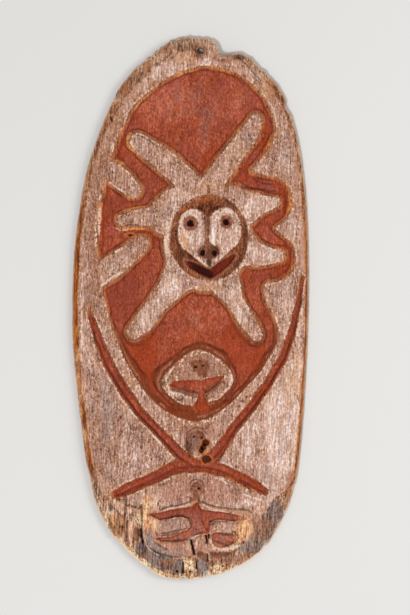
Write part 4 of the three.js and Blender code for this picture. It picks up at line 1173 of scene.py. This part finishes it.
# Screen colours, 0 to 255. A list is a ramp, from dark to pale, or from a wall's top to its foot.
paint = {
    "lime": [(0, (72, 40, 28)), (0.16, (118, 78, 62)), (0.36, (166, 122, 102)), (0.62, (200, 159, 140)),
             (0.82, (230, 195, 180)), (1, (253, 238, 230))],
    "limeThin": (152, 102, 78),
    "limeTan": (214, 162, 120),
    "limeGrey": (156, 136, 130),
    "limeFoot": (182, 126, 106),
    "limeRubbed": (166, 106, 74),
    "limeRim": (190, 134, 98),
    "pit": (78, 46, 34),
    "ochre": [(0, (116, 44, 24)), (0.35, (146, 63, 38)), (0.62, (168, 80, 53)), (1, (196, 114, 90))],
    "ochreOrange": (178, 80, 46),
    "ochrePlum": (154, 74, 66),
    "ochreChannel": (158, 58, 24),
    "ochreDeep": (134, 58, 44),
    # Painted shade on the red next to the foot of a wall.
    "ochreFoot": (146, 56, 28),
    "ochreFaded": (166, 102, 88),
    "ochreFadedWarm": (184, 98, 68),
    "ochreScuff": (146, 106, 92),
    "wall": [(0, (204, 142, 104)), (0.22, (192, 124, 84)), (0.5, (176, 102, 64)), (0.75, (164, 84, 48)),
             (1, (150, 66, 34))],
    "wallRed": (158, 72, 38),
    # Painted shade on the walls of the field's lower part.
    "wallBrown": (128, 56, 28),
    # A painted highlight line partway down a wall.
    "wallScratch": (214, 152, 116),
    # Bright orange on some walls: bare wood and painted highlight.
    "wallOrange": (230, 152, 86),
    # Dark crumbs and chips; along walls' top edges they also stand for painted shade.
    "crumb": (66, 34, 20),
    # Pale flecks in the lime, and painted highlights along edges.
    "edgePale": (248, 216, 192),
    # Painted shade in creases: along the feet of walls and in the grooves.
    "seam": (96, 34, 14),
    # A bright line along the very edge: crusted wood and a painted highlight.
    "edgeBright": (254, 226, 188),
    "ring": [(0, (72, 30, 12)), (0.4, (126, 67, 39)), (0.7, (156, 95, 64)), (1, (200, 148, 116))],
    # Painted shade in the head's ring, partly darker wood.
    "ringDark": (84, 40, 24),
    "ringOrange": (176, 98, 46),
    "smallFace": (132, 74, 46),
    "mouthLeft": (58, 14, 8),
    "mouthRight": (118, 40, 24),
    "lipRim": (168, 106, 78),
    "socket": (140, 74, 50),
    # Dark brown of the nose's bulb, also used as painted shade round the hanging hole.
    "noseDark": (88, 42, 26),
    "chin": (84, 54, 38),
    "rim": [(0, (92, 44, 12)), (0.45, (156, 78, 24)), (1, (204, 132, 68))],
    "rimEnds": [(0, (84, 50, 34)), (0.35, (148, 102, 76)), (0.65, (182, 136, 107)), (1, (230, 194, 166))],
    # The worn outer edge, lightened further as a painted highlight.
    "edgeWorn": (236, 198, 164),
    "splinters": [(0, (92, 56, 38)), (0.35, (152, 106, 78)), (0.65, (190, 146, 116)), (1, (234, 206, 178))],
    "greyWood": [(0, (74, 58, 52)), (0.5, (122, 98, 88)), (1, (170, 144, 132))],
    "pinkPlate": (216, 168, 142),
    "oliveWood": (178, 126, 90),
    "rust": (170, 102, 60),
    "rotRim": (204, 122, 68),
    "tan": [(0, (172, 108, 70)), (0.5, (228, 164, 118)), (1, (254, 214, 170))],
    "cream": [(0, (134, 84, 54)), (0.35, (204, 152, 108)), (0.7, (242, 206, 162)), (1, (254, 240, 214))],
    "darkBrown": (70, 40, 28),
    "markBrown": (128, 74, 52),
    "markCream": (246, 216, 194),
    "markTan": (190, 132, 98),
    "markGrey": (156, 134, 126),
    # Painted shadow at the bottom of cracks and holes.
    "hollow": (36, 8, 4),
    "wormed": (92, 42, 20),
    "side": [(0, (92, 54, 32)), (0.5, (134, 84, 52)), (1, (168, 114, 76))],
    "roughness": 0.86,
    "sheen": 0.15,
    "grainStrength": 0.7,
    "grainHeight": 0.8 * mm,
}


def linear(colour):
    # A screen colour as the linear light that shaders use.
    light = []
    for channel in colour:
        share = channel / 255
        light.append(share / 12.92 if share <= 0.04045 else ((share + 0.055) / 1.055) ** 2.4)
    return tuple(light)


class PaintBench(NodeBench):
    # The board's own noises, made once and shared by its finishes. Colours go by their names in paint.
    def __init__(self, name):
        super().__init__(name)
        self.fine = self.noise((2.7, 5.0, 4), 3.0, 0.65, 3.1, -0.14, 0.5)
        self.streaks = self.noise((2.0, 26, 8), 2.0, 0.55, 9.4, 0.05, 0.4)
        self.brush = self.noise((2.4, 16, 8), 2.0, 0.6, 52.3, 0.6)
        self.patchy = self.noise((15, 30, 20), 2.0, 0.5, 5.7)
        self.flecks = self.noise((2.2, 3.4, 3), 2.0, 0.6, 17.3, 0.4)
        self.spots = self.noise((2.8, 3.6, 4), 2.0, 0.6, 23.9)
        self.hue = self.noise((18, 30, 20), 2.0, 0.5, 31.2, 0, 0.6)
        self.blotches = self.noise((9, 13, 10), 2.0, 0.55, 44.6)
        self.crust = self.noise((3.4, 5.4, 4), 1.0, 0.5, 63.8, 0.3)
        self.ragged = self.wander(fine=1.2, flecks=0.8)

    def feed(self, socket, value):
        super().feed(socket, linear(paint[value]) if isinstance(value, str) else value)

    def wander(self, **amounts):
        # A value round 0 that wanders with the named noises, with each by its own amount.
        parts = [(getattr(self, noise) - 0.5) * amount for noise, amount in amounts.items()]
        return sum(parts[1:], parts[0])

    def ramp(self, value, name):
        stops = [(position, linear(colour)) for position, colour in paint[name]]
        return self.make("ShaderNodeValToRGB", {"stops": stops}, {0: value})

    def wood(self, name, fine, streaks, patchy):
        return self.ramp(self.wander(fine=fine, streaks=streaks, patchy=patchy) + 0.5, name)

    def shade(self, base, amount, fine=1, flecks=0.6, streaks=0.5):
        # The same colour, darker and lighter in grains.
        grain = self.wander(fine=amount * fine, flecks=amount * flecks, streaks=amount * streaks)
        return self.make("ShaderNodeVectorMath", {"operation": "SCALE"}, {0: base, 3: grain + 1})

    def splintered(self, base, amount):
        # The same colour, darker and lighter in long splinters.
        return self.shade(base, amount, 0.6, 0.3, 1)

    def limeWash(self):
        mask, step, shade = self.mask, self.step, self.shade
        thick, thin = mask("thickLime"), mask("thinLime")
        strength = step(self.blotches, 0.35, 0.65) + 1.5 - thick * 0.5
        value = self.wander(fine=strength, streaks=1.3, patchy=0.6)
        value = value + 0.51 + thick * 0.2 - thin * 0.12 - mask("roseLime") * 0.1
        tan = self.larger(mask("tanLime") * 0.65, step(self.hue, 0.52, 0.68) * 0.2)
        tan = self.larger(tan, step(self.flecks + self.blotches, 1.08, 1.3) * 0.3)
        grey = self.larger(mask("greyLime") * 0.6, step(self.hue, 0.48, 0.34) * 0.2)
        rose = self.larger(mask("footward") * 0.5, mask("roseLime") * 0.7)
        rubbed = step(mask("cut") + self.wander(patchy=2), -2.6, -0.2) * (1 - thick * 0.5)
        nearRim = 1 - step(mask("rim") + self.wander(patchy=1.2), 1.0, 2.0)
        return self.coats(
            self.ramp(value, "lime"),
            (thin * 0.5, shade("limeThin", 1.8)),
            (tan, shade("limeTan", 1.6)),
            (grey, shade("limeGrey", 1.7)),
            (rose, shade("limeFoot", 2.2)),
            (rubbed * 0.42, shade("limeRubbed", 2.8)),
            (nearRim * (1 - thick * 0.8) * 0.4, shade("limeRim", 1.8)),
            (step(self.crust, 0.68, 0.74) * 0.65, "edgePale"),
            (step(self.spots, 0.69, 0.77) * 0.55, "pit"))

    def redOchre(self, cut):
        mask, step, shade = self.mask, self.step, self.shade
        orange, deep = mask("orangeOchre"), mask("deepOchre")
        value = self.wander(fine=1.4, streaks=0.4, patchy=0.7, blotches=0.5, brush=0.4) + 0.5
        plain = 1 - self.larger(orange, deep)
        # Next to the foot of each wall the red is darkened a little, as painted shade.
        shadeNearWall = step(cut + self.wander(patchy=1.5), 1.6, 0.95)
        faded = self.blend(step(self.hue + self.ragged * 0.1, 0.48, 0.6), shade("ochreFaded", 1.8),
                           shade("ochreFadedWarm", 1.8))
        scuffs = mask("scuffedOchre") * step(self.fine + self.brush, 0.8, 1.15)
        red = self.coats(
            self.ramp(value + mask("paleOchre") * 0.3, "ochre"),
            (step(self.hue + self.ragged * 0.05, 0.5, 0.66) * 0.4, "ochreOrange"),
            (step(self.hue, 0.47, 0.33) * plain * 0.5, "ochrePlum"),
            (orange * 0.8, "ochreChannel"),
            (deep * 0.7, "ochreDeep"),
            (shadeNearWall * 0.15, "ochreFoot"),
            (mask("footward") * 0.8, faded),
            (scuffs * 0.6, "ochreScuff"),
            (step(self.flecks, 0.65, 0.76) * 0.35, "ochreScuff"))
        return shade(red, 1.2)

    def carvedWall(self, cut):
        mask, step = self.mask, self.step
        # The walls of the field's lower part get painted shade: smooth dark brown from their top down.
        smooth = mask("brownWall")
        worn = cut + self.ragged * (0.9 - smooth * 0.5) + self.wander(patchy=1.1 - smooth * 0.5)
        redder = self.larger(mask("orangeOchre") * step(worn, 0.15, 0.7) * 0.8,
                             mask("paintedWall") * step(worn, 0.0, 0.45))
        # A pale broken line partway down each wall is a painted highlight.
        line = self.between(worn, 0.35, 0.55, 0.6, 0.85) * step(self.patchy, 0.48, 0.6)
        crumbs = step(self.flecks + self.patchy * 0.5, 0.72, 0.84) * (1 - step(cut, 0.2, 0.75))
        wall = self.coats(
            self.ramp(worn, "wall"),
            (redder, "wallRed"),
            (smooth * step(worn, -0.05, 0.12) * 0.92, "wallBrown"),
            # Bright orange on some walls, partly painted highlight.
            (mask("orangeWall") * self.between(worn, 0.1, 0.4, 0.8, 1.1), "wallOrange"),
            (line * 0.4, "wallScratch"),
            (crumbs * (0.6 - smooth * 0.5), "crumb"))
        return self.shade(wall, 3.8 - smooth * 2.2)

    def headRing(self):
        # The ring is painted darker towards its deep inner side, as shade, and in patches, as shade and
        # darker wood.
        value = self.wander(fine=2.4, streaks=1.4, patchy=0.7) + 0.65 - self.mask("ringDepth") * 0.35
        return self.coats(
            self.ramp(value, "ring"),
            (self.mask("darkRing") * 0.7, self.shade("ringDark", 1.6)),
            (self.mask("orangeRing") * 0.7, self.shade("ringOrange", 1.4)))

    def woodEnds(self):
        headward, endWood = self.mask("headward"), self.mask("endWood")
        # The head end's rim is painted a little lighter, as light, where its bevel faces away from the
        # lamp.
        value = self.wander(fine=2.8 - headward * 0.8, streaks=1.8, patchy=1.2) + 0.5 + headward * 0.06
        # A pale line along the outer edge: worn wood, lightened further as a painted highlight.
        pale = 1 - self.step(self.mask("worn") + self.ragged * 2, 0.6, 3.4)
        return self.coats(
            self.wood("rim", 1.3, 2.0, 1.3),
            (endWood, self.ramp(value, "rimEnds")),
            (self.step(self.spots, 0.62, 0.72) * endWood * (0.5 - headward * 0.3), "pit"),
            (pale * (0.4 + endWood * 0.35), self.shade("edgeWorn", 1.6)))


def paintedWood():
    bench = PaintBench("painted_wood")
    mask, step, shade, wander = bench.mask, bench.step, bench.shade, bench.wander
    cut, footward, creamMask = mask("cut"), mask("footward"), mask("cream")
    lime, red, ringWood = bench.limeWash(), bench.redOchre(cut), bench.headRing()

    # Lime on the flats, graded brown walls, ochre on the floors of the cuts; painted highlights along the
    # walls' top edges and on the grooves' banks, painted shade along the walls' feet and in the grooves.
    broken = step(bench.fine + wander(patchy=0.9), 0.46, 0.6)
    # Pale flecks along the lime's edge at each wall's top: worn lime and painted crest highlights.
    flecks = bench.between(cut, -0.6, -0.15, 0.0, 0.25) * step(bench.crust + wander(patchy=0.5), 0.55, 0.62)
    chips = step(bench.flecks + wander(blotches=0.5), 0.56, 0.66)
    # Dark flecks along each wall's top edge: chips, and painted shade where the wall drops from the lime.
    chipped = bench.between(cut, -0.45, -0.1, 0.1, 0.35) * chips
    intoFloor = cut - (0.88 + mask("orangeOchre") * 0.45 - mask("paintedWall") * 0.25)
    # A broken dark line along the foot of each wall is painted crease shade.
    seam = bench.between(intoFloor, -0.25, 0.03, 0.08, 0.38)
    seam = seam * step(bench.patchy + bench.ragged * 0.6, 0.36, 0.6) * (1 - mask("paintedWall") * 0.5)
    # Painted shade along one wall of each crossed groove, and a painted highlight on one bank.
    grooveSeam = mask("grooveSeam") * step(bench.patchy + bench.ragged * 0.5, 0.3, 0.5)
    surface = bench.coats(
        lime,
        (flecks * 0.9, "edgePale"),
        (step(cut + bench.ragged * 0.8, -0.08, 0.14), bench.carvedWall(cut)),
        (chipped * 0.45, "crumb"),
        (step(intoFloor + bench.ragged * 0.5, -0.2, 0.16), red),
        (seam * (0.6 + mask("brownWall") * 0.3), "seam"),
        (mask("grooveBank") * broken * 0.75, "edgePale"),
        (grooveSeam * 0.75, "seam"))

    # The head in its ring, and the small faces, with painted highlights beside the ring and along the
    # heart's edge, and painted shade in the ring.
    bulb = mask("nose") * mask("bulb") * step(bench.fine + bench.flecks, 0.85, 1.15)
    surface = bench.coats(
        surface,
        (mask("ringHalo") * broken * 0.75, "edgePale"),
        (mask("ring"), ringWood),
        (mask("cheeks"), lime),
        (mask("cheekEdge") * broken * 0.75, "edgePale"),
        (mask("nose") * 0.9, ringWood),
        (bulb * 0.7, "noseDark"),
        (mask("chin"), shade("chin", 2.2)),
        (mask("sockets") * 0.9, shade("socket", 2.6)),
        (mask("socketRim") * step(bench.fine, 0.45, 0.62) * 0.5, "edgePale"),
        (mask("lipRim") * 0.65, shade("lipRim", 1.6)),
        (mask("lipRight"), shade("mouthRight", 1.8)),
        (mask("lipLeft"), shade("mouthLeft", 1.8)),
        (mask("smallFaces") * 0.9, shade("smallFace", 2.2)))

    # Bare wood: rim, collar, breaks and rot, with painted shade round the hanging hole and a bright outer
    # edge that is partly a painted highlight.
    rimShare = 1 - step(mask("rim") + bench.ragged * 0.15, 0.88, 0.99)
    bare = bench.make("ShaderNodeClamp", None, {0: rimShare + mask("flaked") * 0.3})
    rust = mask("rust") * step(bench.fine + bench.streaks, 0.8, 1.15) * 0.8
    crustEdge = mask("creamEdge") * (1 - step(mask("worn") + bench.ragged * 4, 6, 9))
    thinEdge = 1 - step(mask("worn") + bench.ragged * 1.6, 1.4, 3.2)
    # A bright line along the very edge at the foot end: crusted wood and a painted highlight.
    brightEdge = bench.larger(mask("creamEdge"), footward * 0.5) * thinEdge
    pits = step(bench.spots, 0.6, 0.7) * bench.larger(creamMask, mask("bareTan"))
    surface = bench.coats(
        surface,
        (rimShare, bench.woodEnds()),
        (mask("collar") * 0.7, ringWood),
        (mask("holeEdge") * 0.4, shade("noseDark", 1.6)),
        (mask("flaked") * 0.95, bench.wood("splinters", 2.6, 4.2, 1.2)),
        (mask("greyWood") * bare, bench.wood("greyWood", 2.4, 2.4, 1.2)),
        (rust, shade("rust", 1.4)),
        (mask("oliveWood"), bench.splintered("oliveWood", 4.2)),
        (mask("pinkPlate"), bench.splintered("pinkPlate", 3.2)),
        (mask("bareTan"), bench.wood("tan", 3.0, 2.6, 1.4)),
        (bench.larger(creamMask, crustEdge), bench.wood("cream", 3.2, 2.4, 1.0)),
        (brightEdge * 0.85, "edgeBright"),
        (pits * 0.8, "crumb"),
        (mask("darkBrown") * 0.8, shade("darkBrown", 1.4)))

    # Marks, each kind over the last, then the rims of the rot, the bare side, and painted shadow in the
    # cracks and holes, with dark rotted wood in the rot holes.
    creamLine = mask("creamLine") * step(bench.fine + bench.flecks * 0.5, 0.6, 0.76)
    rotEdge = mask("rot") * step(bench.fine, 0.3, 0.5) * (0.8 - footward * 0.6)
    surface = bench.coats(
        surface,
        (mask("limeBand") * 0.9, lime),
        (mask("greyBand") * 0.8, shade("markGrey", 2.4)),
        (mask("brownBand") * 0.8, shade("markBrown", 1.6)),
        (mask("tanBand") * 0.8, shade("markTan", 1.6)),
        (mask("redBand") * 0.9, red),
        (creamLine * 0.85, "markCream"),
        (mask("darkLine") * step(bench.flecks, 0.3, 0.5) * 0.8, "darkBrown"),
        (rotEdge, "rotRim"),
        (mask("bareSide"), bench.wood("side", 1.2, 1.2, 1.2)),
        (mask("dark"), bench.blend(mask("rot"), "hollow", shade("wormed", 3.0))))

    bench.feed(bench.shader.inputs["Base Color"], surface)
    bench.shader.inputs["Roughness"].default_value = paint["roughness"]
    bench.shader.inputs["Specular IOR Level"].default_value = paint["sheen"]
    grain = bench.fine * 0.6 + bench.streaks * 0.5 + bench.flecks * 0.3
    bump = bench.make("ShaderNodeBump", None, {"Strength": paint["grainStrength"],
                                               "Distance": paint["grainHeight"], "Height": grain})
    bench.feed(bench.shader.inputs["Normal"], bump)
    return bench.material


plankPiece.data.materials.append(paintedWood())
print("finish: painted wood")


# Floor, light and camera

studio = {
    "floorSize": 8,
    "floorColour": (0.80, 0.79, 0.77),
    "floorRoughness": 0.95,
    "floorDrop": 0.5 * mm,  # keeps the floor clear of the board's flat back
    "pixelSize": 1.685 * mm,  # the board's millimetres to a photo pixel
    "framePixels": (410, 615),
    "boardMiddlePixels": (190.25, 308.5),
    "lens": 100,
    "sensor": 36,
    "lights": [("lowSoftbox", (-1.4, -1.7, 5.2), 0.9, 138), ("rightSoftbox", (2.4, 0.3, 2.2), 1.6, 31)],
    "roomLight": 0.4,
}


def plainMaterial(name, tint, roughness):
    bench = NodeBench(name)
    bench.shader.inputs["Base Color"].default_value = (*tint, 1)
    bench.shader.inputs["Roughness"].default_value = roughness
    return bench.material


def layFloor():
    half = studio["floorSize"] / 2
    mesh = bpy.data.meshes.new("floor")
    corners = [(-half, -half, 0), (half, -half, 0), (half, half, 0), (-half, half, 0)]
    mesh.from_pydata(corners, [], [(0, 1, 2, 3)])
    mesh.materials.append(plainMaterial("floor_paper", studio["floorColour"], studio["floorRoughness"]))
    floor = addToScene("floor", mesh)
    floor.location.z = -studio["floorDrop"]


def hangLight(name, place, size, power):
    light = bpy.data.lights.new(name, "AREA")
    light.shape = "DISK"
    light.size = size
    light.energy = power
    lamp = addToScene(name, light)
    lamp.location = place
    lamp.rotation_euler = (-Vector(place)).to_track_quat("-Z", "Y").to_euler()


def setCamera():
    camera = bpy.data.cameras.new("camera")
    camera.sensor_fit = "VERTICAL"
    camera.sensor_height = studio["sensor"]
    camera.lens = studio["lens"]
    camera.clip_end = 100
    seen = studio["framePixels"][1] * studio["pixelSize"]
    distance = seen * studio["lens"] / studio["sensor"]
    middleX = (studio["framePixels"][0] / 2 - studio["boardMiddlePixels"][0]) * studio["pixelSize"]
    middleY = (studio["boardMiddlePixels"][1] - studio["framePixels"][1] / 2) * studio["pixelSize"]
    holder = addToScene("camera", camera)
    holder.location = (middleX, middleY, highCorner.z + distance)
    bpy.context.scene.camera = holder


def setWorld():
    world = bpy.data.worlds.new("studio")
    world.use_nodes = True
    background = world.node_tree.nodes["Background"]
    background.inputs["Color"].default_value = (1, 1, 1, 1)
    background.inputs["Strength"].default_value = studio["roomLight"]
    bpy.context.scene.world = world


layFloor()
for softbox in studio["lights"]:
    hangLight(*softbox)
setWorld()
setCamera()
bpy.context.scene.view_settings.view_transform = "Standard"
print("floor, lights and camera set")
